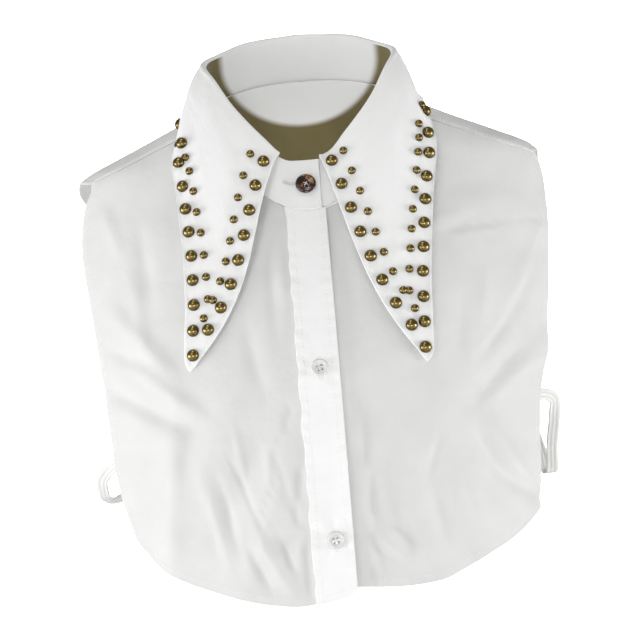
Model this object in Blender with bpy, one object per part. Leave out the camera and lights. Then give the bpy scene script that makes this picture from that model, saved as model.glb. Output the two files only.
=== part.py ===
"""A detachable shirt collar: a collar with long studded dagger points on a cut-off shirt front and back.

It stands filled out as it is worn, with nothing inside. Left and right are as seen from the front. x runs to
the right, y away from the viewer and z up, with z = 0 near the side of the neck. Sizes in this file are in
millimetres, and MM turns them to metres where a mesh is made. Angles are in degrees.
"""

import math
from bisect import bisect_right
from collections import namedtuple

import bmesh
import bpy
from mathutils import Matrix, Vector

MM = 0.001

# The cloth.
panel_thick = 1.2
placket_thick = 1.0
collar_thick = 1.6
elastic_thick = 1.2
seam_gap = 0.3
shoulder_seam_gap = 0.8

# The front opening. The left front laps over the right one, which is set back between two distances from the
# middle.
left_front_reach = 10.0
right_front_reach = 16.0
placket_left = -18.5
placket_right = 11.0
underlap_depth = 1.9
underlap_full = 13.0
underlap_end = 30.0

# The collar stand and the roll of the collar over its top.
stand_half_width = 70.3
stand_front_depth = 50.0
stand_back_depth = 44.0
stand_over_end = 8.6
stand_under_end = 17.0
stand_lap_depth = 2.5
stand_lap_start_turn = 318
stand_lap_full_turn = 344
stand_foot_rise = 1.4
stand_clearance = 0.6
stand_clearance_softness = 0.5
stand_clearance_reach = 0.35
roll_radius = 2.2
roll_gap = 0.8
left_leaf_start = 20.8
right_leaf_start = 9.4

# The neck seam, round the front, side and back of the neck.
neck_half_width = 68.0
neck_front_height = -93.0
neck_side_height = -6.5
neck_back_height = 14.0
neck_front_curve = 1.24
seam_start_angle = 78.3

# Hard pieces.
stud_width = 9.0
stud_height = 4.2
stand_button_width = 15.0
front_button_width = 12.7
button_thick = 2.6
strap_width = 9.0
strap_clearance = 0.6
stud_gap = 0.5
button_gap = 0.5
stand_button_across = -2.2
stand_button_up = 0.5
stud_edge_share = 0.5
rim_checks = 12

# The buttons on the placket.
FrontButton = namedtuple("FrontButton", "name x height")
FRONT_BUTTONS = [
    FrontButton("front_button_upper", -2.8, -207),
    FrontButton("front_button_lower", -1.5, -328),
]

# Half of a button's outline, as shares of its radius and of its thickness.
ButtonRing = namedtuple("ButtonRing", "across up")
BUTTON_OUTLINE = [
    ButtonRing(0.0, 0.0),
    ButtonRing(0.70, 0.0),
    ButtonRing(0.94, 0.28),
    ButtonRing(1.0, 0.55),
    ButtonRing(0.93, 0.88),
    ButtonRing(0.82, 1.0),
    ButtonRing(0.68, 0.90),
    ButtonRing(0.55, 0.72),
    ButtonRing(0.0, 0.68),
]

# The form that the cloth takes: an oval at each height, deeper at the chest than at the neck.
oval_power = 2.2
BodySection = namedtuple("BodySection", "height half_width front_depth back_depth")
BODY = [
    BodySection(60, 60.0, 30, 46),
    BodySection(14, 62.0, 31, 50),
    BodySection(0, 64.5, 32, 53),
    BodySection(-6.5, 68.0, 33, 55),
    BodySection(-17.5, 91.0, 36, 60),
    BodySection(-29, 116.0, 40, 64),
    BodySection(-41, 143.0, 44, 69),
    BodySection(-54, 169.5, 47.5, 74),
    BodySection(-64, 177.0, 50.5, 77),
    BodySection(-80, 181.0, 56, 82),
    BodySection(-93, 183.0, 62, 86),
    BodySection(-120, 184.5, 73, 91),
    BodySection(-160, 184.0, 87, 94),
    BodySection(-210, 180.0, 99, 92),
    BodySection(-270, 174.0, 104, 85),
    BodySection(-330, 168.0, 102.5, 79),
    BodySection(-390, 162.0, 99, 75),
]

# The top of the stand, from the centre front to the centre back.
StandTop = namedtuple("StandTop", "angle height")
STAND_TOP = [
    StandTop(0, -56.0),
    StandTop(10, -55.6),
    StandTop(16, -52.5),
    StandTop(28, -37.5),
    StandTop(48, -12.5),
    StandTop(71, 14.0),
    StandTop(90, 24.0),
    StandTop(124, 34.5),
    StandTop(150, 43.5),
    StandTop(180, 47.0),
]

# The forward shoulder seam, from the neck to the shoulder tip.
ShoulderSeam = namedtuple("ShoulderSeam", "across height")
SHOULDER_SEAM = [
    ShoulderSeam(66.6, -18.5),
    ShoulderSeam(100, -32.0),
    ShoulderSeam(130, -44.5),
    ShoulderSeam(170, -59.5),
]

# The free side edges of the fronts, below the shoulder tips.
SideEdge = namedtuple("SideEdge", "height left right")
SIDE_EDGES = [
    SideEdge(-57, 161.5, 168.0),
    SideEdge(-64, 161.5, 171.0),
    SideEdge(-72, 165.5, 173.4),
    SideEdge(-86, 169.2, 175.0),
    SideEdge(-106, 171.3, 175.0),
    SideEdge(-140, 168.5, 172.0),
    SideEdge(-172, 164.8, 168.5),
    SideEdge(-211, 161.5, 161.5),
    SideEdge(-252, 158.5, 154.5),
    SideEdge(-290, 153.5, 152.5),
    SideEdge(-322, 145.5, 149.0),
]

# The curved hem of the fronts.
HemRow = namedtuple("HemRow", "across left right")
HEM = [
    HemRow(-16, -363.5, -364),
    HemRow(-8, -367.5, -363.5),
    HemRow(10, -371.5, -363.5),
    HemRow(30, -374, -364.5),
    HemRow(48, -372, -365.5),
    HemRow(70, -367, -364),
    HemRow(90, -360.5, -357),
    HemRow(110, -353, -348),
    HemRow(128, -342, -339),
    HemRow(145.5, -322, -326),
    HemRow(149, -318, -322),
]

# The plain back, which is a little shorter than the fronts: its armhole edge, from the hem to the shoulder tip.
BackEdge = namedtuple("BackEdge", "share theta height")
BACK_EDGE = [
    BackEdge(0.0, 126.0, -322.0),
    BackEdge(0.15, 126.5, -280.0),
    BackEdge(0.38, 127.0, -210.0),
    BackEdge(0.60, 126.0, -140.0),
    BackEdge(0.73, 121.0, -100.0),
    BackEdge(0.81, 114.0, -80.0),
    BackEdge(0.88, 104.0, -66.5),
    BackEdge(0.94, 92.0, -58.0),
    BackEdge(1.0, 79.0, -57.5),
]
back_hem_middle = -352.0
back_hem_power = 4
shoulder_pull_power = 8

# The outer edge of each collar leaf, from the dagger point over the shoulder to the centre back. theta is the
# place round the body from the centre front, and lift is how far the edge stands off the body.
LeafEdge = namedtuple("LeafEdge", "share theta height lift")
LEFT_LEAF = [
    LeafEdge(0.0, 29.2, -203, 2.8),
    LeafEdge(0.02, 30.2, -198, 2.8),
    LeafEdge(0.06, 29.7, -183, 3.0),
    LeafEdge(0.12, 28.5, -157, 4.0),
    LeafEdge(0.20, 28.2, -122, 5.5),
    LeafEdge(0.27, 29.2, -90, 6.5),
    LeafEdge(0.33, 31.4, -62, 6.0),
    LeafEdge(0.38, 39.8, -40, 5.0),
    LeafEdge(0.42, 57.0, -25, 4.0),
    LeafEdge(0.47, 90.0, -16, 3.2),
    LeafEdge(0.64, 122.0, -12, 3.0),
    LeafEdge(0.82, 152.0, -6, 3.0),
    LeafEdge(1.0, 180.0, -3, 3.0),
]
RIGHT_LEAF = [
    LeafEdge(0.0, 21.7, -209, 2.8),
    LeafEdge(0.02, 23.3, -203, 2.8),
    LeafEdge(0.06, 23.4, -187, 3.0),
    LeafEdge(0.12, 23.6, -161, 4.0),
    LeafEdge(0.20, 25.1, -118, 5.5),
    LeafEdge(0.27, 27.5, -82, 6.5),
    LeafEdge(0.33, 31.2, -56, 6.0),
    LeafEdge(0.38, 44.0, -34, 5.0),
    LeafEdge(0.42, 65.0, -20, 4.0),
    LeafEdge(0.47, 90.0, -14, 3.2),
    LeafEdge(0.64, 122.0, -12, 3.0),
    LeafEdge(0.82, 152.0, -6, 3.0),
    LeafEdge(1.0, 180.0, -3, 3.0),
]
leaf_bulge = 0.5
longest_bulge = 75.0
leave_hook = {-1: 0.0, 1: 0.075}
arrive_hook = {-1: 0.62, 1: 0.43}
leaf_hook_share = 0.3
leaf_clearance = 2.4
free_point_share = 0.02
free_point_down = 0.97

# The largest folds of the fronts: soft ridges (rise above 0) and troughs, each along a line. They fade towards
# their ends and run on past them by a share of the line.
fold_fade = 14.055
fold_run_on = 0.3
Fold = namedtuple("Fold", "from_x from_z to_x to_z width rise")
FOLDS = [
    Fold(-120, -330, -60, -215, 11, 2.6),
    Fold(-96, -345, -38, -235, 9, -2.4),
    Fold(-70, -362, -28, -262, 8, 2.2),
    Fold(-150, -300, -100, -160, 16, 3.0),
    Fold(52, -345, 24, -232, 8, -2.2),
    Fold(74, -358, 34, -262, 9, 2.2),
    Fold(120, -338, 90, -238, 13, 3.0),
    Fold(146, -290, 118, -170, 12, -2.4),
    Fold(60, -120, 138, -92, 9, 1.6),
]

# Rows of large studs along a leaf's edges. first is the distance of the first stud from the dagger point.
StudRow = namedtuple("StudRow", "name side edge inset_at_point inset_at_end first pitch count")
STUD_ROWS = [
    StudRow("stud_left_outer", -1, "outer", 6.6, 6.0, 14.0, 18.2, 11),
    StudRow("stud_left_inner", -1, "front", 8.0, 7.5, 34.0, 19.3, 8),
    StudRow("stud_right_outer", 1, "outer", 6.4, 5.8, 12.9, 18.4, 11),
    StudRow("stud_right_inner", 1, "front", 8.0, 6.8, 29.0, 20.1, 8),
]

# The slack side straps, from inside the front's edge to inside the back's edge. On the back, x is the angle
# from the centre front. across is the way that the strap's width points.
StrapRow = namedtuple("StrapRow", "on x y z across_x across_y across_z")
LEFT_STRAP = [
    StrapRow("front", 143, 0, -262, 0.2, 0, 1),
    StrapRow("front", 152, 0, -264, 0.3, 0, 1),
    StrapRow("free", 163, -36, -270, 0.6, 0, 0.8),
    StrapRow("free", 171, -26, -281, 0.95, 0, 0.3),
    StrapRow("free", 171, -17, -291, 0.95, 0.3, -0.1),
    StrapRow("free", 166, -8, -295, 0.6, 0.6, -0.6),
    StrapRow("free", 159, 8, -294, 0.2, 0.2, -1),
    StrapRow("free", 150, 30, -288, 0, 0, -1),
    StrapRow("back", 126.5, 0, -283, 0, 0, -1),
    StrapRow("back", 131, 0, -282, 0, 0, -1),
]
RIGHT_STRAP = [
    StrapRow("front", 143, 0, -240, 0, 0, 1),
    StrapRow("front", 151.5, 0, -240, 0, 0, 1),
    StrapRow("free", 161, -40, -241, 0.2, 0, 1),
    StrapRow("free", 168, -32, -247, 0.8, 0, 0.6),
    StrapRow("free", 167, -27, -260, 1, 0, 0.1),
    StrapRow("free", 164, -25, -280, 1, 0, 0),
    StrapRow("free", 163, -21, -299, 1, 0, 0),
    StrapRow("free", 161, -12, -301, 1, 0.1, 0),
    StrapRow("free", 158, 0, -284, 1, 0.3, -0.1),
    StrapRow("free", 154, 20, -262, 0.6, 0.3, -0.7),
    StrapRow("free", 149, 38, -252, 0.1, 0, -1),
    StrapRow("back", 127, 0, -249, 0, 0, -1),
    StrapRow("back", 131, 0, -249, 0, 0, -1),
]

# Mesh fineness.
front_columns, front_rows = 20, 26
back_columns, back_rows = 9, 24
stand_columns, stand_rows = 56, 3
leaf_columns, leaf_rows, roll_rows = 64, 11, 4
placket_columns, placket_rows = 3, 34
strap_stations = 30
stud_sides, stud_rings = 10, 6
button_sides = 20


def smooth_through(places, values):
    """A curve through a table's values that never overshoots between them."""
    pairs = sorted(zip(places, values))
    places = [pair[0] for pair in pairs]
    values = [pair[1] for pair in pairs]
    steps = [b - a for a, b in zip(places, places[1:])]
    slopes = [(b - a) / step for a, b, step in zip(values, values[1:], steps)]
    tangents = [slopes[0]]
    for before, after, step_before, step_after in zip(slopes, slopes[1:], steps, steps[1:]):
        if before * after <= 0:
            tangents.append(0.0)
            continue
        weight_before = 2 * step_after + step_before
        weight_after = step_after + 2 * step_before
        mean = (weight_before + weight_after) / (weight_before / before + weight_after / after)
        tangents.append(mean)
    tangents.append(slopes[-1])

    def at(place):
        place = min(max(place, places[0]), places[-1])
        i = min(bisect_right(places, place) - 1, len(steps) - 1)
        step = steps[i]
        s = (place - places[i]) / step
        start = (1 + 2 * s) * (1 - s) ** 2 * values[i] + s * (1 - s) ** 2 * step * tangents[i]
        end = s * s * (3 - 2 * s) * values[i + 1] + s * s * (s - 1) * step * tangents[i + 1]
        return start + end

    return at


def column_curve(table, place, value):
    """The smooth curve of one named column of a table over another."""
    return smooth_through([getattr(row, place) for row in table], [getattr(row, value) for row in table])


half_width_at = column_curve(BODY, "height", "half_width")
front_depth_at = column_curve(BODY, "height", "front_depth")
back_depth_at = column_curve(BODY, "height", "back_depth")
stand_top_at = column_curve(STAND_TOP, "angle", "height")
seam_height_at = column_curve(SHOULDER_SEAM, "across", "height")
back_edge_at = {name: column_curve(BACK_EDGE, "share", name) for name in ("theta", "height")}
side_edge_at = {-1: column_curve(SIDE_EDGES, "height", "left"), 1: column_curve(SIDE_EDGES, "height", "right")}
hem_at = {-1: column_curve(HEM, "across", "left"), 1: column_curve(HEM, "across", "right")}
leaf_table = {-1: LEFT_LEAF, 1: RIGHT_LEAF}
leaf_edge_at = {
    side: {name: column_curve(table, "share", name) for name in ("theta", "height", "lift")}
    for side, table in leaf_table.items()
}


def sin_of(degrees):
    return math.sin(math.radians(degrees))


def cos_of(degrees):
    return math.cos(math.radians(degrees))


def blend(low, high, place):
    """0 below low, 1 above high, and smooth between."""
    s = min(max((place - low) / (high - low), 0.0), 1.0)
    return s * s * (3 - 2 * s)


def soft_excess(value, softness):
    """The part of a value above 0, with a soft turn at 0."""
    largest = 30
    return softness * math.log1p(math.exp(min(value / softness, largest)))


def fold_height(x, z):
    """How far the folds move the cloth out from the body at this place on the fronts."""
    rise = 0.0
    for fold in FOLDS:
        run = Vector((fold.to_x - fold.from_x, fold.to_z - fold.from_z))
        offset = Vector((x - fold.from_x, z - fold.from_z))
        along = offset.dot(run) / run.length_squared
        across = offset.cross(run) / run.length
        if -fold_run_on < along < 1 + fold_run_on:
            fade = math.exp(-fold_fade * (along - 0.5) ** 4)
            rise += fold.rise * fade * math.exp(-((across / fold.width) ** 2))
    return rise


def body_point(theta, height, side):
    """A point on the form: theta is 0 at the centre front, 90 at the side and 180 at the centre back."""
    depth = front_depth_at(height) if theta <= 90 else back_depth_at(height)
    across = half_width_at(height) * sin_of(theta) ** (2 / oval_power)
    return Vector((side * across, -depth * cos_of(theta), height))


def theta_at(across, height):
    """The place round the body of a point this far from the middle on the front."""
    share = min(abs(across) / half_width_at(height), 1.0)
    return math.degrees(math.asin(share ** (oval_power / 2)))


def body_depth(x, height):
    """The y of the form's front, for points on the front alone."""
    widest_share = 0.999
    share = min(abs(x) / half_width_at(height), widest_share)
    return -front_depth_at(height) * math.sqrt(1 - share**oval_power)


def front_point(x, height, lift=0.0):
    """A point on the fronts with their folds, moved out by lift."""
    step = 0.5
    here = Vector((x, body_depth(x, height), height))
    beside = Vector((x + step, body_depth(x + step, height), height))
    above = Vector((x, body_depth(x, height + step), height + step))
    out = (beside - here).cross(above - here).normalized()
    return here + out * (lift + fold_height(x, height))


def outness(point):
    """0 on the form's surface, above 0 outside it."""
    depth = front_depth_at(point.z) if point.y <= 0 else back_depth_at(point.z)
    oval = (abs(point.x) / half_width_at(point.z)) ** oval_power + (point.y / depth) ** 2
    return math.sqrt(oval) - 1


def body_gap(point):
    """How far a point is outside the form, and the way out there."""
    step = 0.4
    here = outness(point)
    slope = Vector([(outness(point + step * axis) - here) / step for axis in Matrix.Identity(3)])
    steepness = slope.length
    return here / steepness, slope / steepness


def rest_on_body(point, clearance, first_softness=3.0):
    """The point, moved out where it would come closer to the form than the clearance."""
    for softness in (first_softness, 0.5):
        gap, out = body_gap(point)
        point = point + out * soft_excess(clearance - gap, softness)
    return point


def lifted_body_point(theta, height, side, lift):
    point = body_point(theta, height, side)
    return point + body_gap(point)[1] * lift


def ring_place(turn):
    """The side and the angle from the centre front of a turn round the neck.

    A turn starts at 0 at the centre front and goes round by the left side. Turns below 0 and above 360 are
    where the ends lap past the centre.
    """
    folded = turn % 360
    return (-1, folded) if folded <= 180 else (1, 360 - folded)


def neck_seam(turn):
    """The line where the stand is sewn to the body of the garment."""
    side, angle = ring_place(turn)
    if angle <= 90:
        drop = (neck_front_height - neck_side_height) * max(cos_of(angle), 0.0) ** neck_front_curve
        height = neck_side_height + drop
        theta = theta_at(neck_half_width * sin_of(angle), height)
    else:
        height = neck_side_height + (neck_back_height - neck_side_height) * sin_of(angle - 90)
        theta = angle
    return body_point(theta, height, side)


def stand_lap(turn):
    """How far the right end of the stand is set back, so that it passes behind the left end."""
    return stand_lap_depth * blend(stand_lap_start_turn, stand_lap_full_turn, turn)


def outward(turn):
    side, angle = ring_place(turn)
    return Vector((side * sin_of(angle) * stand_back_depth, -cos_of(angle) * stand_half_width, 0)).normalized()


def stand_top(turn):
    side, angle = ring_place(turn)
    depth = stand_front_depth if angle <= 90 else stand_back_depth
    point = Vector((side * stand_half_width * sin_of(angle), -depth * cos_of(angle), stand_top_at(angle)))
    return point - outward(turn) * stand_lap(turn)


def stand_point(turn, up):
    """A point of the stand: up runs from its foot, which stands on the panels, to its top."""
    foot = neck_seam(turn)
    rise = (stand_top(turn) - foot).normalized()
    clearance = (panel_thick + collar_thick) / 2 + seam_gap
    foot = rest_on_body(foot + rise * stand_foot_rise, clearance, first_softness=0.5)
    foot = foot - outward(turn) * stand_lap(turn)
    return foot.lerp(stand_top(turn), up)


def stand_gap(point):
    """How far a point is outside the stand, the way out there, and how far up the stand it is."""
    angle = math.degrees(math.atan2(abs(point.x) / stand_half_width, -point.y / stand_front_depth))
    turn = angle if point.x < 0 else 360 - angle
    for _ in range(3):
        foot = stand_point(turn, 0)
        rise = stand_top(turn) - foot
        up = (point - foot).dot(rise) / rise.length_squared
        here = foot + rise * min(max(up, 0), 1)
        along = stand_point(turn + 1, min(max(up, 0), 1)) - here
        turn += (point - here).dot(along) / along.length_squared
    out = rise.cross(along).normalized()
    return (point - here).dot(out), out, up


def clear_of_stand(point):
    """The point of a leaf, moved out where it would come too close to the stand."""
    for _ in range(2):
        gap, out, up = stand_gap(point)
        short = collar_thick + stand_clearance - gap
        near = blend(-stand_clearance_reach, 0.0, up)
        point = point + out * near * soft_excess(short, stand_clearance_softness)
    return point


def turn_at(across):
    """The turn at which the stand's top is this far to the left of the centre."""
    return math.degrees(math.asin(across / stand_half_width))


def leaf_turn(side, share):
    """The turn of the fold line, from a leaf's front edge at share 0 to the centre back at 1."""
    if side < 0:
        return turn_at(left_leaf_start) * (1 - share) + 180 * share
    return (360 - turn_at(right_leaf_start)) * (1 - share) + 180 * share


def roll_point(turn, down):
    """The half circle of the roll: down -1 is above the stand's top, 0 is outside it."""
    here = stand_top(turn)
    along = (stand_top(turn + 1) - stand_top(turn - 1)).normalized()
    rise = here - stand_point(turn, 0)
    rise = (rise - along * rise.dot(along)).normalized()
    out = rise.cross(along)
    centre = here + rise * roll_gap + out * roll_radius
    return centre + out * roll_radius * cos_of(180 * down) - rise * roll_radius * sin_of(180 * down)


def leaf_point(side, share, down):
    """A point of the collar: down runs from the stand's top (-1), over the roll (0), to the outer edge (1)."""
    turn = leaf_turn(side, share)
    out = outward(turn)
    if down <= 0:
        return roll_point(turn, down)
    start = roll_point(turn, 0.0)
    edge = leaf_edge_at[side]
    theta = edge["theta"](share)
    height = edge["height"](share)
    end = lifted_body_point(theta, height, side, edge["lift"](share))
    chord = end - start
    hook = (1 - blend(0, leaf_hook_share, share)) * chord.length
    bulge = leaf_bulge * min(chord.length, longest_bulge)
    leave = chord + Vector((-side * leave_hook[side] * hook, 0, 0)) + out * bulge
    way_out = body_gap(end)[1]
    arrive = chord - way_out * chord.dot(way_out) + Vector((side * arrive_hook[side] * hook, 0, 0))
    s = down
    point = start * (1 + 2 * s) * (1 - s) ** 2 + end * s * s * (3 - 2 * s)
    point = point + leave * s * (1 - s) ** 2 + arrive * s * s * (s - 1)
    point = clear_of_stand(point)
    at_the_tip = share <= free_point_share and down >= free_point_down
    return point if at_the_tip else rest_on_body(point, leaf_clearance)


def finish(name, colour, roughness, metallic=0.0):
    material = bpy.data.materials.new(name)
    material.use_nodes = True
    shader = material.node_tree.nodes["Principled BSDF"]
    shader.inputs["Base Color"].default_value = (*colour, 1)
    shader.inputs["Roughness"].default_value = roughness
    shader.inputs["Metallic"].default_value = metallic
    return material


def add_object(name, shape, material):
    mesh = bpy.data.meshes.new(name)
    shape.to_mesh(mesh)
    shape.free()
    mesh.materials.append(material)
    piece = bpy.data.objects.new(name, mesh)
    bpy.context.scene.collection.objects.link(piece)
    return piece


def thicken(piece, thickness):
    """Gives a sheet its thickness, half to each side."""
    wall = piece.modifiers.new("cloth", "SOLIDIFY")
    wall.thickness = thickness * MM
    wall.offset = 0
    piece.data.shade_smooth()
    return piece


def cloth_wall(name, across, along, place, thickness, material):
    """A cloth wall of even thickness about the sheet of points that place(u, v) gives."""
    sheet = bmesh.new()
    add_grid(sheet, across, along, place)
    return thicken(add_object(name, sheet, material), thickness)


def even_places(curve, count=160):
    """A function from a share of a curve's length to the curve's own parameter."""
    shares = [i / count for i in range(count + 1)]
    points = [curve(share) for share in shares]
    lengths = [0.0]
    for before, after in zip(points, points[1:]):
        lengths.append(lengths[-1] + (after - before).length)
    return smooth_through([length / lengths[-1] for length in lengths], shares), lengths[-1]


def patch(top, bottom, inner, outer):
    """The places between four edges, each a function from 0 to 1, where v runs from bottom to top."""

    def at(u, v):
        sides = inner(v) * (1 - u) + outer(v) * u
        ends = bottom(u) * (1 - v) + top(u) * v
        low = bottom(0) * (1 - u) + bottom(1) * u
        high = top(0) * (1 - u) + top(1) * u
        return sides + ends - (low * (1 - v) + high * v)

    return at


def joined(first, second, first_share):
    """Two edges run one after the other as one."""

    def at(s):
        if s <= first_share:
            return first(s / first_share)
        return second((s - first_share) / (1 - first_share))

    return at


def make_front(name, side, reach, material):
    """One front: across is measured away from the centre, and below 0 on the part that laps past it."""
    lap_angle = math.degrees(math.asin(reach / neck_half_width))
    tip_height = SIDE_EDGES[0].height
    tip_across = side_edge_at[side](tip_height)
    seam_start = SHOULDER_SEAM[0].across

    def neck_edge(s):
        angle = -lap_angle + (seam_start_angle + lap_angle) * s
        point = neck_seam(abs(angle))
        return Vector((math.copysign(point.x, angle), point.z))

    def shoulder_edge(s):
        across = seam_start + (tip_across - seam_start) * s
        return Vector((across, seam_height_at(across) - shoulder_seam_gap))

    tip = shoulder_edge(1)
    corner_height = SIDE_EDGES[-1].height
    corner = side_edge_at[side](corner_height)

    def side_edge(v):
        height = corner_height + (tip.y - corner_height) * v
        return Vector((side_edge_at[side](height), height))

    def hem_edge(u):
        across = -reach + (corner + reach) * u
        return Vector((across, hem_at[side](across)))

    def on_body(edge):
        return lambda s: front_point(side * edge(s).x, edge(s).y)

    neck_even, neck_length = even_places(on_body(neck_edge))
    shoulder_even, shoulder_length = even_places(on_body(shoulder_edge))
    side_even, _ = even_places(on_body(side_edge))
    hem_even, _ = even_places(on_body(hem_edge))
    neck_share = round(front_columns * neck_length / (neck_length + shoulder_length)) / front_columns
    top = joined(lambda s: neck_edge(neck_even(s)), lambda s: shoulder_edge(shoulder_even(s)), neck_share)
    lower = hem_edge(0).y
    upper = neck_edge(0).y
    places = patch(
        top,
        lambda u: hem_edge(hem_even(u)),
        lambda v: Vector((-reach, lower + (upper - lower) * v)),
        lambda v: side_edge(side_even(v)),
    )

    def place(u, v):
        spot = places(u, v)
        lap = 0.0 if side < 0 else -underlap_depth * (1 - blend(underlap_full, underlap_end, spot.x))
        return front_point(side * spot.x, spot.y, lap)

    return cloth_wall(name, front_columns, front_rows, place, panel_thick, material)


def onto_body(point):
    """The point moved straight onto the form's surface."""
    for _ in range(4):
        gap, out = body_gap(point)
        point = point - out * gap
    return point


def back_half(side):
    """The places of one half of the back, from the centre back to the armhole edge."""
    seam_start = SHOULDER_SEAM[0].across
    tip_across = side_edge_at[side](SIDE_EDGES[0].height)

    def neck_edge(s):
        point = neck_seam(180 + (seam_start_angle - 180) * s)
        return Vector((-side * point.x, point.y, point.z))

    def shoulder_edge(s):
        across = seam_start + (tip_across - seam_start) * s
        height = seam_height_at(across) + shoulder_seam_gap
        return body_point(theta_at(across, height), height, side)

    def armhole_edge(s):
        point = body_point(back_edge_at["theta"](s), back_edge_at["height"](s), side)
        return point + (shoulder_edge(1) - armhole_tip) * s**shoulder_pull_power

    armhole_tip = body_point(BACK_EDGE[-1].theta, BACK_EDGE[-1].height, side)

    def hem_edge(s):
        corner = BACK_EDGE[0]
        theta = 180 + (corner.theta - 180) * s
        height = back_hem_middle + (corner.height - back_hem_middle) * s**back_hem_power
        return body_point(theta, height, side)

    def middle(s):
        return body_point(180, back_hem_middle + (neck_back_height - back_hem_middle) * s, side)

    middle_even, middle_length = even_places(middle)
    neck_even, neck_length = even_places(neck_edge)
    shoulder_even, _ = even_places(shoulder_edge)
    armhole_even, _ = even_places(armhole_edge)
    hem_even, _ = even_places(hem_edge)
    middle_share = round(back_rows * middle_length / (middle_length + neck_length)) / back_rows
    places = patch(
        lambda s: shoulder_edge(shoulder_even(s)),
        lambda s: hem_edge(hem_even(s)),
        joined(lambda s: middle(middle_even(s)), lambda s: neck_edge(neck_even(s)), middle_share),
        lambda s: armhole_edge(armhole_even(s)),
    )
    return lambda u, v: onto_body(places(u, v))


def add_grid(sheet, across, along, place):
    """Adds a grid of faces to the sheet, on the points that place(u, v) gives."""
    grid = bmesh.ops.create_grid(sheet, x_segments=across, y_segments=along, size=0.5)
    for corner in grid["verts"]:
        corner.co = place(corner.co.x + 0.5, corner.co.y + 0.5) * MM


def make_back(material):
    """The back, cut in one with the tops of the shoulders, as far as the forward seams."""
    sheet = bmesh.new()
    for side in (-1, 1):
        add_grid(sheet, back_columns, back_rows, back_half(side))
    bmesh.ops.remove_doubles(sheet, verts=sheet.verts, dist=0.01 * MM)
    bmesh.ops.recalc_face_normals(sheet, faces=sheet.faces)
    return thicken(add_object("back_panel", sheet, material), panel_thick)


def clear_scene():
    for old in list(bpy.data.objects):
        bpy.data.objects.remove(old)


def make_stand(material):
    """The band round the neck, whose left end laps over its right end at the front."""
    first = -turn_at(stand_over_end)
    last = 360 + turn_at(stand_under_end)

    def place(u, v):
        return stand_point(first + (last - first) * u, v)

    return cloth_wall("collar_stand", stand_columns, stand_rows, place, collar_thick, material)


def make_fall(material):
    """The collar itself, one piece from dagger point to dagger point round the back."""
    roll_share = roll_rows / (roll_rows + leaf_rows)

    def place(u, v):
        down = v / roll_share - 1 if v <= roll_share else (v - roll_share) / (1 - roll_share)
        if u <= 0.5:
            return leaf_point(-1, 2 * u, down)
        return leaf_point(1, 2 - 2 * u, down)

    return cloth_wall("collar_fall", leaf_columns, roll_rows + leaf_rows, place, collar_thick, material)


def make_placket(material):
    """The strip down the opening, laid on the left front's own points."""
    lift = panel_thick / 2 + seam_gap + placket_thick / 2

    def place(u, v):
        x = placket_left + (placket_right - placket_left) * u
        across = -x
        top = neck_seam(math.degrees(math.asin(abs(x) / neck_half_width))).z - seam_gap
        bottom = hem_at[-1](across)
        return front_point(x, bottom + (top - bottom) * v, lift)

    return cloth_wall("placket", placket_columns, placket_rows, place, placket_thick, material)


def shares_of(way, first, second):
    """How much of each of two ways adds up to a third, as near as they can."""
    a, b, c = first.length_squared, first.dot(second), second.length_squared
    p, q = way.dot(first), way.dot(second)
    return (c * p - b * q) / (a * c - b * b), (a * q - b * p) / (a * c - b * b)


def leaf_spot(row, distance, inset):
    """The place of a stud: a distance from the dagger point along an edge of the leaf, and inset from it."""
    step = 0.002
    if row.edge == "outer":
        even, length = even_places(lambda s: leaf_point(row.side, stud_edge_share * s, 1.0))
        share, down = stud_edge_share * even(distance / length), 1.0
        ahead, inside = (share + step, down), (share, down - 10 * step)
    else:
        even, length = even_places(lambda s: leaf_point(row.side, 0.0, 1.0 - s))
        share, down = 0.0, 1.0 - even(distance / length)
        ahead, inside = (share, down - 5 * step), (share + 2 * step, down)
    here = leaf_point(row.side, share, down)
    along = (leaf_point(row.side, *ahead) - here).normalized()
    inward = leaf_point(row.side, *inside) - here
    inward = (inward - along * inward.dot(along)).normalized()
    target = here + inward * inset
    for _ in range(8):
        here = leaf_point(row.side, share, down)
        by_share = (leaf_point(row.side, share + step, down) - here) / step
        by_down = (here - leaf_point(row.side, share, down - step)) / step
        share_off, down_off = shares_of(target - here, by_share, by_down)
        share += share_off
        down += down_off
    out = by_share.cross(by_down).normalized()
    out = out if out.dot(body_gap(here)[1]) > 0 else -out
    return here, out, base_rise(row.side, share, down, by_share, by_down, out)


def base_rise(side, share, down, by_share, by_down, out):
    """How far the leaf rises under a stud's rim, above its middle."""
    here = leaf_point(side, share, down)
    beside = by_share.normalized()
    above = out.cross(by_share).normalized()
    rises = [0.0]
    for i in range(rim_checks):
        angle = 360 / rim_checks * i
        way = (beside * cos_of(angle) + above * sin_of(angle)) * stud_width / 2
        share_off, down_off = shares_of(way, by_share, by_down)
        rim = leaf_point(side, max(share + share_off, 0.0), min(down + down_off, 1.0))
        rises.append((rim - here).dot(out))
    return max(rises)


def set_on(piece, point, out):
    """Moves a piece made about the origin so that it sits on the point and faces out."""
    turn = out.to_track_quat("Z", "Y").to_matrix().to_4x4()
    piece.data.transform(Matrix.Translation(point * MM) @ turn)
    piece.data.shade_smooth()
    return piece


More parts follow.
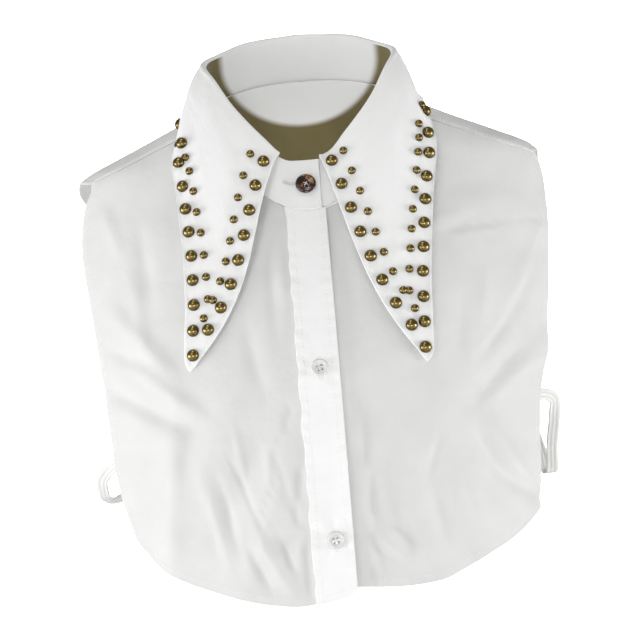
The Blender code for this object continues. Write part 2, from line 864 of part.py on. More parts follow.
def make_stud(name, point, out, material):
    dome = bmesh.new()
    bmesh.ops.create_uvsphere(dome, u_segments=stud_sides, v_segments=stud_rings, radius=stud_width / 2 * MM)
    everything = dome.verts[:] + dome.edges[:] + dome.faces[:]
    bmesh.ops.bisect_plane(dome, geom=everything, plane_co=(0, 0, 0), plane_no=(0, 0, 1), clear_inner=True)
    bmesh.ops.holes_fill(dome, edges=dome.edges)
    bmesh.ops.scale(dome, vec=(1, 1, 2 * stud_height / stud_width), verts=dome.verts)
    bmesh.ops.recalc_face_normals(dome, faces=dome.faces)
    return set_on(add_object(name, dome, material), point + out * (collar_thick / 2 + stud_gap), out)


def make_studs(material):
    for row in STUD_ROWS:
        for i in range(row.count):
            inset = row.inset_at_point + (row.inset_at_end - row.inset_at_point) * i / (row.count - 1)
            point, out, rise = leaf_spot(row, row.first + row.pitch * i, inset)
            make_stud(f"{row.name}_{i + 1:02d}", point + out * rise, out, material)


def make_button(name, width, point, out, material):
    """A button: a dished face inside a rounded rim, turned about its middle."""
    disc = bmesh.new()
    rim = []
    for ring in BUTTON_OUTLINE:
        place = Vector((ring.across * width / 2, 0, ring.up * button_thick))
        rim.append(disc.verts.new(place * MM))
    for before, after in zip(rim, rim[1:]):
        disc.edges.new((before, after))
    turned = disc.verts[:] + disc.edges[:]
    bmesh.ops.spin(
        disc, geom=turned, cent=(0, 0, 0), axis=(0, 0, 1), angle=math.tau, steps=button_sides, use_merge=True
    )
    bmesh.ops.remove_doubles(disc, verts=disc.verts, dist=0.001 * MM)
    bmesh.ops.recalc_face_normals(disc, faces=disc.faces)
    return set_on(add_object(name, disc, material), point, out)


def make_stand_button(material):
    turn = turn_at(-stand_button_across)
    here = stand_point(turn, stand_button_up)
    along = stand_point(turn + 1, stand_button_up) - here
    out = (stand_top(turn) - here).cross(along).normalized()
    make_button("stand_button", stand_button_width, here + out * (collar_thick / 2 + seam_gap), out, material)


def make_front_button(name, x, height, material):
    """A button on the placket, which faces the way that the placket does there."""
    lift = panel_thick / 2 + seam_gap + placket_thick
    here = front_point(x, height, lift)
    span = front_button_width / 2
    along = front_point(x + span, height, lift) - front_point(x - span, height, lift)
    upward = front_point(x, height + span, lift) - front_point(x, height - span, lift)
    out = along.cross(upward).normalized()
    make_button(name, front_button_width, here + out * button_gap, out, material)


def make_strap(name, side, table, material):
    """A narrow loop of elastic, sewn inside the front's edge and the back's edge and slack between them."""
    inside = -((panel_thick + elastic_thick) / 2 + seam_gap + strap_clearance)
    middles, ways = [], []
    for row in table:
        way = Vector((side * row.across_x, row.across_y, row.across_z))
        if row.on == "front":
            point = front_point(side * row.x, row.z, inside)
            way = point - front_point(side * row.x, row.z - 1, inside)
        elif row.on == "back":
            point = lifted_body_point(row.x, row.z, side, inside)
            way = lifted_body_point(row.x, row.z - 1, side, inside) - point
        else:
            point = Vector((side * row.x, row.y, row.z))
        middles.append(point)
        ways.append(way.normalized())
    places = [0.0]
    for before, after in zip(middles, middles[1:]):
        places.append(places[-1] + (after - before).length)
    middle_at = [smooth_through(places, [point[i] for point in middles]) for i in range(3)]
    way_at = [smooth_through(places, [way[i] for way in ways]) for i in range(3)]

    def place(u, v):
        at = places[-1] * v
        middle = Vector([curve(at) for curve in middle_at])
        ahead = Vector([curve(at + 0.5) for curve in middle_at])
        behind = Vector([curve(at - 0.5) for curve in middle_at])
        run = (ahead - behind).normalized()
        way = Vector([curve(at) for curve in way_at])
        way = (way - run * way.dot(run)).normalized()
        return middle + way * strap_width * (u - 0.5)

    return cloth_wall(name, 2, strap_stations, place, elastic_thick, material)


clear_scene()
cotton = finish("white_poplin", (0.86, 0.86, 0.85), 0.85)
make_front("front_left", -1, left_front_reach, cotton)
make_front("front_right", 1, right_front_reach, cotton)
make_back(cotton)
make_stand(cotton)
make_fall(cotton)
make_placket(cotton)
brass = finish("antique_brass", (0.45, 0.38, 0.22), 0.35, 1.0)
make_studs(brass)
make_stand_button(finish("tortoiseshell_resin", (0.13, 0.06, 0.03), 0.2))
pearl = finish("clear_white_plastic", (0.88, 0.88, 0.86), 0.25)
for button in FRONT_BUTTONS:
    make_front_button(button.name, button.x, button.height, pearl)
elastic = finish("white_elastic", (0.84, 0.84, 0.82), 0.9)
make_strap("side_strap_left", -1, LEFT_STRAP, elastic)
make_strap("side_strap_right", 1, RIGHT_STRAP, elastic)
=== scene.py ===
# A detachable shirt collar with long studded dagger points, on a cut-off cotton shirt front and back.
# Dresses the CAD frame for rendering. Run it in Blender 4.5; it ends by handing its pieces back to the frame.
# Left and right are as seen from the front: x runs right, y away from the viewer, z up. Sizes are in
# millimetres unless a name says otherwise, and mm turns them to metres.

import math
from bisect import bisect_right
from collections import namedtuple

import bmesh
import bpy
from mathutils import Matrix, Vector, noise


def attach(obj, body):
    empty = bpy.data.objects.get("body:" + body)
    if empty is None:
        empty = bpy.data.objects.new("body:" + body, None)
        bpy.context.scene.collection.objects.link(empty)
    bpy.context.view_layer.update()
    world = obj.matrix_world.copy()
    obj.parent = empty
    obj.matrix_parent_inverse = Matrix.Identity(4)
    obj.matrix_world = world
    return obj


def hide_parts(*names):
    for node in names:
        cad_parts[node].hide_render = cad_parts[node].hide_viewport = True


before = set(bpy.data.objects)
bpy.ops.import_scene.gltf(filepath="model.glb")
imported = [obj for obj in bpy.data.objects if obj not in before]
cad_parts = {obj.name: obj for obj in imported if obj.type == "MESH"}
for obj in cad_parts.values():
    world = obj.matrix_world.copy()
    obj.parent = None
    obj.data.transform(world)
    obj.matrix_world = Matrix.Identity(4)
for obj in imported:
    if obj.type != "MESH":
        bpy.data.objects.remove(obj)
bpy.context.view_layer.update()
print("frame loaded with", len(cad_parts), "nodes")

mm = 0.001
weldGap = 0.002  # points of a turned shape closer than this are one

# The cloth.
panelThick = 1.2
placketThick = 1.0
collarThick = 1.6
elasticThick = 1.2
seamGap = 0.3
shoulderSeamGap = 0.8

# The front opening. The left front laps over the right one, and the buttons sit a little left of centre.
buttonLine = -2.5
leftFrontReach = 10.0
rightFrontReach = 16.0
placketLeft = -18.5
placketRight = 11.0
underlapDepth = 1.9

# The collar stand and the roll of the collar over its top.
standHalfWidth = 70.3
standFrontDepth = 50.0
standBackDepth = 44.0
standOverEnd = 8.6
standUnderEnd = 17.0
standLapDepth = 2.5
standFootRise = -0.8  # the seam is closed here, where the solids stand a little apart
standClearance = 0.6
rollRadius = 2.2
rollGap = -0.4  # closed in the same way
leftLeafStart = 20.8
rightLeafStart = 9.4

# The neck seam, round the front, side and back of the neck.
neckHalfWidth = 68.0
neckFrontHeight = -93.0
neckSideHeight = -6.5
neckBackHeight = 14.0
neckFrontCurve = 1.24
seamStartAngle = 78.3

# Hard pieces.
studWidth = 9.0
studHeight = 4.2
standButtonWidth = 15.0
frontButtonWidth = 12.7
buttonThick = 2.6
strapWidth = 9.0
strapClearance = 0.6
standButtonAcross = -2.2
standButtonUp = 0.5
studEdgeShare = 0.5

# The form that the cloth takes: an oval at each height, deeper at the chest than at the neck.
ovalPower = 2.2
bodySection = namedtuple("bodySection", "height halfWidth frontDepth backDepth")
bodyRows = [
    bodySection(60, 60.0, 30, 46),
    bodySection(14, 62.0, 31, 50),
    bodySection(0, 64.5, 32, 53),
    bodySection(-6.5, 68.0, 33, 55),
    bodySection(-17.5, 91.0, 36, 60),
    bodySection(-29, 116.0, 40, 64),
    bodySection(-41, 143.0, 44, 69),
    bodySection(-54, 169.5, 47.5, 74),
    bodySection(-64, 177.0, 50.5, 77),
    bodySection(-80, 181.0, 56, 82),
    bodySection(-93, 183.0, 62, 86),
    bodySection(-120, 184.5, 73, 91),
    bodySection(-160, 184.0, 87, 94),
    bodySection(-210, 180.0, 99, 92),
    bodySection(-270, 174.0, 104, 85),
    bodySection(-330, 168.0, 102.5, 79),
    bodySection(-390, 162.0, 99, 75),
]

# The top of the stand, from the centre front to the centre back.
standTopRow = namedtuple("standTopRow", "angle height")
standTopRows = [
    standTopRow(0, -56.0),
    standTopRow(10, -55.6),
    standTopRow(16, -52.5),
    standTopRow(28, -37.5),
    standTopRow(48, -12.5),
    standTopRow(71, 14.0),
    standTopRow(90, 24.0),
    standTopRow(124, 34.5),
    standTopRow(150, 43.5),
    standTopRow(180, 47.0),
]

# The forward shoulder seam, from the neck to the shoulder tip.
shoulderSeamRow = namedtuple("shoulderSeamRow", "across height")
shoulderSeamRows = [
    shoulderSeamRow(66.6, -18.5),
    shoulderSeamRow(100, -32.0),
    shoulderSeamRow(130, -44.5),
    shoulderSeamRow(170, -59.5),
]

# The free side edges of the fronts, below the shoulder tips.
sideEdgeRow = namedtuple("sideEdgeRow", "height left right")
sideEdgeRows = [
    sideEdgeRow(-57, 161.5, 168.0),
    sideEdgeRow(-64, 161.5, 171.0),
    sideEdgeRow(-72, 165.5, 173.4),
    sideEdgeRow(-86, 169.2, 175.0),
    sideEdgeRow(-106, 171.3, 175.0),
    sideEdgeRow(-140, 168.5, 172.0),
    sideEdgeRow(-172, 164.8, 168.5),
    sideEdgeRow(-211, 161.5, 161.5),
    sideEdgeRow(-252, 158.5, 154.5),
    sideEdgeRow(-290, 153.5, 152.5),
    sideEdgeRow(-322, 145.5, 149.0),
]

# The curved hem of the fronts.
hemRow = namedtuple("hemRow", "across left right")
hemRows = [
    hemRow(-16, -363.5, -364),
    hemRow(-8, -367.5, -363.5),
    hemRow(10, -371.5, -363.5),
    hemRow(30, -374, -364.5),
    hemRow(48, -372, -365.5),
    hemRow(70, -367, -364),
    hemRow(90, -360.5, -357),
    hemRow(110, -353, -348),
    hemRow(128, -342, -339),
    hemRow(145.5, -322, -326),
    hemRow(149, -318, -322),
]

# The plain back, which is a little shorter than the fronts: its armhole edge, from the hem to the shoulder
# tip.
backEdgeRow = namedtuple("backEdgeRow", "share theta height")
backEdgeRows = [
    backEdgeRow(0.0, 126.0, -322.0),
    backEdgeRow(0.15, 126.5, -280.0),
    backEdgeRow(0.38, 127.0, -210.0),
    backEdgeRow(0.60, 126.0, -140.0),
    backEdgeRow(0.73, 121.0, -100.0),
    backEdgeRow(0.81, 114.0, -80.0),
    backEdgeRow(0.88, 104.0, -66.5),
    backEdgeRow(0.94, 92.0, -58.0),
    backEdgeRow(1.0, 79.0, -57.5),
]
backHemMiddle = -352.0

# The outer edge of each collar leaf, from the dagger point over the shoulder to the centre back. theta is the
# place round the body from the centre front, and lift is how far the edge stands off the body.
leafEdgeRow = namedtuple("leafEdgeRow", "share theta height lift")
leftLeafRows = [
    leafEdgeRow(0.0, 29.2, -203, 2.8),
    leafEdgeRow(0.02, 30.2, -198, 2.8),
    leafEdgeRow(0.06, 29.7, -183, 3.0),
    leafEdgeRow(0.12, 28.5, -157, 4.0),
    leafEdgeRow(0.20, 28.2, -122, 5.5),
    leafEdgeRow(0.27, 29.2, -90, 6.5),
    leafEdgeRow(0.33, 31.4, -62, 6.0),
    leafEdgeRow(0.38, 39.8, -40, 5.0),
    leafEdgeRow(0.42, 57.0, -25, 4.0),
    leafEdgeRow(0.47, 90.0, -16, 3.2),
    leafEdgeRow(0.64, 122.0, -12, 3.0),
    leafEdgeRow(0.82, 152.0, -6, 3.0),
    leafEdgeRow(1.0, 180.0, -3, 3.0),
]
rightLeafRows = [
    leafEdgeRow(0.0, 21.7, -209, 2.8),
    leafEdgeRow(0.02, 23.3, -203, 2.8),
    leafEdgeRow(0.06, 23.4, -187, 3.0),
    leafEdgeRow(0.12, 23.6, -161, 4.0),
    leafEdgeRow(0.20, 25.1, -118, 5.5),
    leafEdgeRow(0.27, 27.5, -82, 6.5),
    leafEdgeRow(0.33, 31.2, -56, 6.0),
    leafEdgeRow(0.38, 44.0, -34, 5.0),
    leafEdgeRow(0.42, 65.0, -20, 4.0),
    leafEdgeRow(0.47, 90.0, -14, 3.2),
    leafEdgeRow(0.64, 122.0, -12, 3.0),
    leafEdgeRow(0.82, 152.0, -6, 3.0),
    leafEdgeRow(1.0, 180.0, -3, 3.0),
]
leafBulge = 0.5
leaveHook = {-1: 0.0, 1: 0.075}
arriveHook = {-1: 0.62, 1: 0.43}
leafHookShare = 0.3
leafClearance = 2.4

# The largest folds of the fronts: soft ridges (rise above 0) and troughs, each along a line.
foldRow = namedtuple("foldRow", "fromX fromZ toX toZ width rise")
foldRows = [
    foldRow(-120, -330, -60, -215, 11, 2.6),
    foldRow(-96, -345, -38, -235, 9, -2.4),
    foldRow(-70, -362, -28, -262, 8, 2.2),
    foldRow(-150, -300, -100, -160, 16, 3.0),
    foldRow(52, -345, 24, -232, 8, -2.2),
    foldRow(74, -358, 34, -262, 9, 2.2),
    foldRow(120, -338, 90, -238, 13, 3.0),
    foldRow(146, -290, 118, -170, 12, -2.4),
    foldRow(60, -120, 138, -92, 9, 1.6),
]

# Rows of large studs along a leaf's edges. first is the distance of the first stud from the dagger point.
studRow = namedtuple("studRow", "name side edge insetAtPoint insetAtEnd first pitch count")
studRows = [
    studRow("stud_left_outer", -1, "outer", 6.6, 6.0, 14.0, 18.2, 11),
    studRow("stud_left_inner", -1, "front", 8.0, 7.5, 34.0, 19.3, 8),
    studRow("stud_right_outer", 1, "outer", 6.4, 5.8, 12.9, 18.4, 11),
    studRow("stud_right_inner", 1, "front", 8.0, 6.8, 29.0, 20.1, 8),
]

# The slack side straps, from inside the front's edge to inside the back's edge. On the back, x is the angle
# from the centre front. across is the way that the strap's width points.
strapRow = namedtuple("strapRow", "on x y z acrossX acrossY acrossZ")
leftStrapRows = [
    strapRow("front", 143, 0, -262, 0.2, 0, 1),
    strapRow("front", 152, 0, -264, 0.3, 0, 1),
    strapRow("free", 163, -36, -270, 0.6, 0, 0.8),
    strapRow("free", 171, -26, -281, 0.95, 0, 0.3),
    strapRow("free", 171, -17, -291, 0.95, 0.3, -0.1),
    strapRow("free", 166, -8, -295, 0.6, 0.6, -0.6),
    strapRow("free", 159, 8, -294, 0.2, 0.2, -1),
    strapRow("free", 150, 30, -288, 0, 0, -1),
    strapRow("back", 126.5, 0, -283, 0, 0, -1),
    strapRow("back", 131, 0, -282, 0, 0, -1),
]
rightStrapRows = [
    strapRow("front", 143, 0, -240, 0, 0, 1),
    strapRow("front", 151.5, 0, -240, 0, 0, 1),
    strapRow("free", 161, -40, -241, 0.2, 0, 1),
    strapRow("free", 168, -32, -247, 0.8, 0, 0.6),
    strapRow("free", 167, -27, -260, 1, 0, 0.1),
    strapRow("free", 164, -25, -280, 1, 0, 0),
    strapRow("free", 163, -21, -299, 1, 0, 0),
    strapRow("free", 161, -12, -301, 1, 0.1, 0),
    strapRow("free", 158, 0, -284, 1, 0.3, -0.1),
    strapRow("free", 154, 20, -262, 0.6, 0.3, -0.7),
    strapRow("free", 149, 38, -252, 0.1, 0, -1),
    strapRow("back", 127, 0, -249, 0, 0, -1),
    strapRow("back", 131, 0, -249, 0, 0, -1),
]


# A curve through a table's values that never overshoots between them.
def smoothThrough(places, values):
    pairs = sorted(zip(places, values))
    places = [pair[0] for pair in pairs]
    values = [pair[1] for pair in pairs]
    steps = [b - a for a, b in zip(places, places[1:])]
    slopes = [(b - a) / step for a, b, step in zip(values, values[1:], steps)]
    tangents = [slopes[0]]
    for before, after, stepBefore, stepAfter in zip(slopes, slopes[1:], steps, steps[1:]):
        if before * after <= 0:
            tangents.append(0.0)
            continue
        weightBefore = 2 * stepAfter + stepBefore
        weightAfter = stepAfter + 2 * stepBefore
        mean = (weightBefore + weightAfter) / (weightBefore / before + weightAfter / after)
        tangents.append(mean)
    tangents.append(slopes[-1])

    def at(place):
        place = min(max(place, places[0]), places[-1])
        i = min(bisect_right(places, place) - 1, len(steps) - 1)
        step = steps[i]
        s = (place - places[i]) / step
        start = (1 + 2 * s) * (1 - s) ** 2 * values[i] + s * (1 - s) ** 2 * step * tangents[i]
        end = s * s * (3 - 2 * s) * values[i + 1] + s * s * (s - 1) * step * tangents[i + 1]
        return start + end

    return at


# The smooth curve of one named column of a table over another.
def columnCurve(table, place, value):
    return smoothThrough([getattr(row, place) for row in table], [getattr(row, value) for row in table])


halfWidthAt = columnCurve(bodyRows, "height", "halfWidth")
frontDepthAt = columnCurve(bodyRows, "height", "frontDepth")
backDepthAt = columnCurve(bodyRows, "height", "backDepth")
standTopAt = columnCurve(standTopRows, "angle", "height")
seamHeightAt = columnCurve(shoulderSeamRows, "across", "height")
backEdgeAt = {name: columnCurve(backEdgeRows, "share", name) for name in ("theta", "height")}
sideEdgeAt = {
    -1: columnCurve(sideEdgeRows, "height", "left"),
    1: columnCurve(sideEdgeRows, "height", "right"),
}
hemAt = {-1: columnCurve(hemRows, "across", "left"), 1: columnCurve(hemRows, "across", "right")}
leafTable = {-1: leftLeafRows, 1: rightLeafRows}
leafEdgeAt = {
    side: {name: columnCurve(table, "share", name) for name in ("theta", "height", "lift")}
    for side, table in leafTable.items()
}


def sinOf(degrees):
    return math.sin(math.radians(degrees))


def cosOf(degrees):
    return math.cos(math.radians(degrees))


# 0 below low, 1 above high, and smooth between.
def blend(low, high, place):
    s = min(max((place - low) / (high - low), 0.0), 1.0)
    return s * s * (3 - 2 * s)


# How far the folds move the cloth out from the body at this place on the fronts.
def foldHeight(x, z):
    rise = 0.0
    for fold in foldRows:
        run = Vector((fold.toX - fold.fromX, fold.toZ - fold.fromZ))
        offset = Vector((x - fold.fromX, z - fold.fromZ))
        along = offset.dot(run) / run.length_squared
        across = offset.cross(run) / run.length
        if -0.3 < along < 1.3:
            fade = math.exp(-((2.2 * (along - 0.5)) ** 4) * 0.6)
            rise += fold.rise * fade * math.exp(-((across / fold.width) ** 2))
    return rise


# A point on the form: theta is 0 at the centre front, 90 at the side and 180 at the centre back.
def bodyPoint(theta, height, side):
    depth = frontDepthAt(height) if theta <= 90 else backDepthAt(height)
    across = halfWidthAt(height) * sinOf(theta) ** (2 / ovalPower)
    return Vector((side * across, -depth * cosOf(theta), height))


# The place round the body of a point this far from the middle on the front.
def thetaAt(across, height):
    share = min(abs(across) / halfWidthAt(height), 1.0)
    return math.degrees(math.asin(share ** (ovalPower / 2)))


# The y of the form's front, for points on the front alone.
def bodyDepth(x, height):
    share = min(abs(x) / halfWidthAt(height), 0.999)
    return -frontDepthAt(height) * math.sqrt(1 - share**ovalPower)


# A point on the fronts with their folds, moved out by lift.
def frontPoint(x, height, lift=0.0):
    step = 0.5
    here = Vector((x, bodyDepth(x, height), height))
    beside = Vector((x + step, bodyDepth(x + step, height), height))
    above = Vector((x, bodyDepth(x, height + step), height + step))
    out = (beside - here).cross(above - here).normalized()
    return here + out * (lift + foldHeight(x, height))


# 0 on the form's surface, above 0 outside it.
def outness(point):
    depth = frontDepthAt(point.z) if point.y <= 0 else backDepthAt(point.z)
    oval = (abs(point.x) / halfWidthAt(point.z)) ** ovalPower + (point.y / depth) ** 2
    return math.sqrt(oval) - 1


# How far a point is outside the form, and the way out there.
def bodyGap(point):
    step = 0.4
    here = outness(point)
    slope = Vector([(outness(point + step * axis) - here) / step for axis in Matrix.Identity(3)])
    steepness = max(slope.length, 1e-6)
    return here / steepness, slope / steepness


def bodyOut(point):
    return bodyGap(point)[1]


# The point, moved out where it would come closer to the body than the clearance.
def restOnBody(point, clearance, softness=3.0):
    for _ in range(2):
        gap, out = bodyGap(point)
        short = (clearance - gap) / softness
        if short > -8:
            point = point + out * softness * math.log1p(math.exp(min(short, 30)))
        softness = 0.5
    return point


def liftedBodyPoint(theta, height, side, lift):
    point = bodyPoint(theta, height, side)
    return point + bodyGap(point)[1] * lift


# The side and the angle from the centre front of a turn round the neck.
# A turn starts at 0 at the centre front and goes round by the left side. Turns below 0 and above 360 are
# where the ends lap past the centre.
def ringPlace(turn):
    folded = turn % 360
    return (-1, folded) if folded <= 180 else (1, 360 - folded)


# The line where the stand is sewn to the body of the garment.
def neckSeam(turn):
    side, angle = ringPlace(turn)
    if angle <= 90:
        drop = (neckFrontHeight - neckSideHeight) * max(cosOf(angle), 0.0) ** neckFrontCurve
        height = neckSideHeight + drop
        theta = thetaAt(neckHalfWidth * sinOf(angle), height)
    else:
        height = neckSideHeight + (neckBackHeight - neckSideHeight) * sinOf(angle - 90)
        theta = angle
    return bodyPoint(theta, height, side)


# How far the right end of the stand is set back, so that it passes behind the left end.
def standLap(turn):
    return standLapDepth * blend(318, 344, turn)


def outward(turn):
    side, angle = ringPlace(turn)
    return Vector((side * sinOf(angle) * standBackDepth, -cosOf(angle) * standHalfWidth, 0)).normalized()


def standTop(turn):
    side, angle = ringPlace(turn)
    depth = standFrontDepth if angle <= 90 else standBackDepth
    point = Vector((side * standHalfWidth * sinOf(angle), -depth * cosOf(angle), standTopAt(angle)))
    return point - outward(turn) * standLap(turn)


# A point of the stand: up runs from its foot, which stands on the panels, to its top.
def standPoint(turn, up):
    foot = neckSeam(turn)
    rise = (standTop(turn) - foot).normalized()
    clearance = (panelThick + collarThick) / 2 + seamGap
    foot = restOnBody(foot + rise * standFootRise, clearance, 0.5) - outward(turn) * standLap(turn)
    return foot.lerp(standTop(turn), up)


# How far a point is outside the stand, the way out there, and how far up the stand it is.
def standGap(point):
    angle = math.degrees(math.atan2(abs(point.x) / standHalfWidth, -point.y / standFrontDepth))
    turn = angle if point.x < 0 else 360 - angle
    for _ in range(3):
        foot = standPoint(turn, 0)
        rise = standTop(turn) - foot
        up = (point - foot).dot(rise) / rise.length_squared
        here = foot + rise * min(max(up, 0), 1)
        along = standPoint(turn + 1, min(max(up, 0), 1)) - here
        turn += (point - here).dot(along) / along.length_squared
    out = rise.cross(along).normalized()
    return (point - here).dot(out), out, up


# The point of a leaf, moved out where it would come too close to the stand.
def clearOfStand(point):
    for _ in range(2):
        gap, out, up = standGap(point)
        short = collarThick + standClearance - gap
        near = blend(-0.35, 0.0, up)
        point = point + out * near * math.log1p(math.exp(min(short * 2, 30))) / 2
    return point


# The turn at which the stand's top is this far to the left of the centre.
def turnAt(across):
    return math.degrees(math.asin(across / standHalfWidth))


# The turn of the fold line, from a leaf's front edge at share 0 to the centre back at 1.
def leafTurn(side, share):
    if side < 0:
        return turnAt(leftLeafStart) * (1 - share) + 180 * share
    return (360 - turnAt(rightLeafStart)) * (1 - share) + 180 * share


# A point of the collar: down runs from the stand's top (-1), over the roll (0), to the outer edge (1).
def leafPoint(side, share, down):
    turn = leafTurn(side, share)
    out = outward(turn)
    if down <= 0:
        return rollPoint(turn, down)
    start = rollPoint(turn, 0.0)
    edge = leafEdgeAt[side]
    theta = edge["theta"](share)
    height = edge["height"](share)
    end = liftedBodyPoint(theta, height, side, edge["lift"](share))
    chord = end - start
    hook = (1 - blend(0, leafHookShare, share)) * chord.length
    leave = chord + Vector((-side * leaveHook[side] * hook, 0, 0)) + out * leafBulge * min(chord.length, 75)
    wayOut = bodyGap(end)[1]
    arrive = chord - wayOut * chord.dot(wayOut) + Vector((side * arriveHook[side] * hook, 0, 0))
    s = down
    point = start * (1 + 2 * s) * (1 - s) ** 2 + end * s * s * (3 - 2 * s)
    point = point + leave * s * (1 - s) ** 2 + arrive * s * s * (s - 1)
    point = clearOfStand(point)
    return restOnBody(point, leafClearance) if share > 0.02 or down < 0.97 else point


# The half circle of the roll: down -1 is above the stand's top, 0 is outside it.
def rollPoint(turn, down):
    here = standTop(turn)
    along = (standTop(turn + 1) - standTop(turn - 1)).normalized()
    rise = here - standPoint(turn, 0)
    rise = (rise - along * rise.dot(along)).normalized()
    out = rise.cross(along)
    centre = here + rise * rollGap + out * rollRadius
    return centre + out * rollRadius * cosOf(180 * down) - rise * rollRadius * sinOf(180 * down)


# A function from a share of a curve's length to the curve's own parameter.
def evenPlaces(curve, count=160):
    shares = [i / count for i in range(count + 1)]
    points = [curve(share) for share in shares]
    lengths = [0.0]
    for before, after in zip(points, points[1:]):
        lengths.append(lengths[-1] + (after - before).length)
    return smoothThrough([length / lengths[-1] for length in lengths], shares), lengths[-1]


# The places between four edges, each a function from 0 to 1, where v runs from bottom to top.
def patch(top, bottom, inner, outer):

    def at(u, v):
        sides = inner(v) * (1 - u) + outer(v) * u
        ends = bottom(u) * (1 - v) + top(u) * v
        low = bottom(0) * (1 - u) + bottom(1) * u
        high = top(0) * (1 - u) + top(1) * u
        return sides + ends - (low * (1 - v) + high * v)

    return at


# Two edges run one after the other as one.
def joined(first, second, firstShare):

    def at(s):
        if s <= firstShare:
            return first(s / firstShare)
        return second((s - firstShare) / (1 - firstShare))

    return at


# The point moved straight onto the form's surface.
def ontoBody(point):
    for _ in range(4):
        gap, out = bodyGap(point)
        point = point - out * gap
    return point


# sRGB hex to linear RGBA.
def linear(code):
    parts = [int(code[i : i + 2], 16) / 255 for i in (1, 3, 5)]
    return (*[p / 12.92 if p <= 0.04045 else ((p + 0.055) / 1.055) ** 2.4 for p in parts], 1.0)


def newMaterial(name):
    material = bpy.data.materials.new(name)
    material.use_nodes = True
    return material


# Sets inputs by their name, or by number as in i2. A socket is linked, and a constant is set on the input
# itself.
def setInputs(material, node, inputs):
    for name, value in inputs.items():
        key = int(name[1:]) if name[0] == "i" and name[1:].isdigit() else name.replace("_", " ")
        if isinstance(value, bpy.types.NodeSocket):
            material.node_tree.links.new(value, node.inputs[key])
        else:
            node.inputs[key].default_value = value


def addNode(material, kind, settings=None, **inputs):
    node = material.node_tree.nodes.new(kind)
    for name, value in (settings or {}).items():
        setattr(node, name, value)
    setInputs(material, node, inputs)
    return node


def setSurface(material, **inputs):
    setInputs(material, material.node_tree.nodes["Principled BSDF"], inputs)


def objectPlace(material):
    return addNode(material, "ShaderNodeTexCoord").outputs["Object"]


def flatPlace(material):
    return addNode(material, "ShaderNodeUVMap", {"uv_map": "flat"}).outputs[0]


def reckon(material, operation, *values):
    inputs = {f"i{i}": value for i, value in enumerate(values)}
    return addNode(material, "ShaderNodeMath", {"operation": operation}, **inputs).outputs[0]


def mixColours(material, share, low, high):
    return addNode(material, "ShaderNodeMix", {"data_type": "RGBA"}, Factor=share, i6=low, i7=high).outputs[2]


# Each stop is a place from 0 to 1 and an sRGB hex code.
def colourRamp(material, value, *stops):
    node = addNode(material, "ShaderNodeValToRGB", Fac=value)
    elements = node.color_ramp.elements
    elements[0].position, elements[0].color = stops[0][0], linear(stops[0][1])
    elements[1].position, elements[1].color = stops[-1][0], linear(stops[-1][1])
    for place, code in stops[1:-1]:
        elements.new(place).color = linear(code)
    return node.outputs[0]


# Mercerised cotton poplin: matt and close woven, so white with a faint sheen, soft shadows and fine ribs.
poplin = {
    "face": "#f9f9f8",
    "shade": "#f2f2f1",
    "thinFace": "#e3e3e1",  # a single layer, which lets some light through and so looks greyer
    "thinShade": "#d9d9d7",
    # painted shade: the warm, dull tones painted on the inside of the back and the stand where shade falls in
    # the neck
    "paintedShadeFace": "#80754f",  # in shade inside the neck: warmer and duller
    "paintedShadeDeep": "#756a46",
    "rib": 0.85,  # mm. Real ribs are 0.25 mm apart, too fine to show, so they are drawn this coarse
    "threadStretch": 300.0,  # against 1000 across the ribs, so each thread is drawn long
    "rumple": 26.0,  # mm between soft rumples left by wear
}
waveTurn = 6.283  # a wave texture has this many waves to a metre for each 1 of its scale


# The light that falls in through the neck is painted into the colour of the inside of the stand and the back:
# a pale patch of painted light, round below and straight at its sides, with a band of painted shade about it
# in the dull inside colours. The painted shade ends at the sides and low in the hollow, where the cloth keeps
# its plain face colour. In metres.
paintedNeckLightAndShade = {
    "centreHeight": 0.025,
    "flatten": 0.75,  # a share: the patch's depth below its centre, to its half width
    "full": 0.042,
    "none": 0.047,
    "sideFrom": 0.080,
    "sideTo": 0.100,
    "lowFrom": -0.050,
    "lowTo": -0.075,
}


# The mask of the painted shade: 1 in the band of shade about the patch of painted light, 0 in the patch and
# past the band's ends.
def paintedNeckShade(material):
    parts = addNode(material, "ShaderNodeSeparateXYZ", Vector=objectPlace(material))
    aside = reckon(material, "ABSOLUTE", parts.outputs[0])
    wide = reckon(material, "MULTIPLY", aside, paintedNeckLightAndShade["flatten"])
    fromCentre = reckon(material, "SUBTRACT", parts.outputs[2], paintedNeckLightAndShade["centreHeight"])
    below = reckon(material, "MINIMUM", fromCentre, 0.0)
    spot = addNode(material, "ShaderNodeCombineXYZ", X=wide, Z=below)
    far = addNode(material, "ShaderNodeVectorMath", {"operation": "LENGTH"}, i0=spot.outputs[0])

    def share(value, low, high):
        smooth = {"interpolation_type": "SMOOTHSTEP"}
        return addNode(material, "ShaderNodeMapRange", smooth, i0=value, i1=low, i2=high).outputs[0]

    outside = share(far.outputs["Value"], paintedNeckLightAndShade["full"], paintedNeckLightAndShade["none"])
    pastSide = share(aside, paintedNeckLightAndShade["sideFrom"], paintedNeckLightAndShade["sideTo"])
    nearNeck = share(parts.outputs[2], paintedNeckLightAndShade["lowTo"], paintedNeckLightAndShade["lowFrom"])
    within = reckon(material, "MULTIPLY", nearNeck, reckon(material, "SUBTRACT", 1.0, pastSide))
    return reckon(material, "MULTIPLY", outside, within)


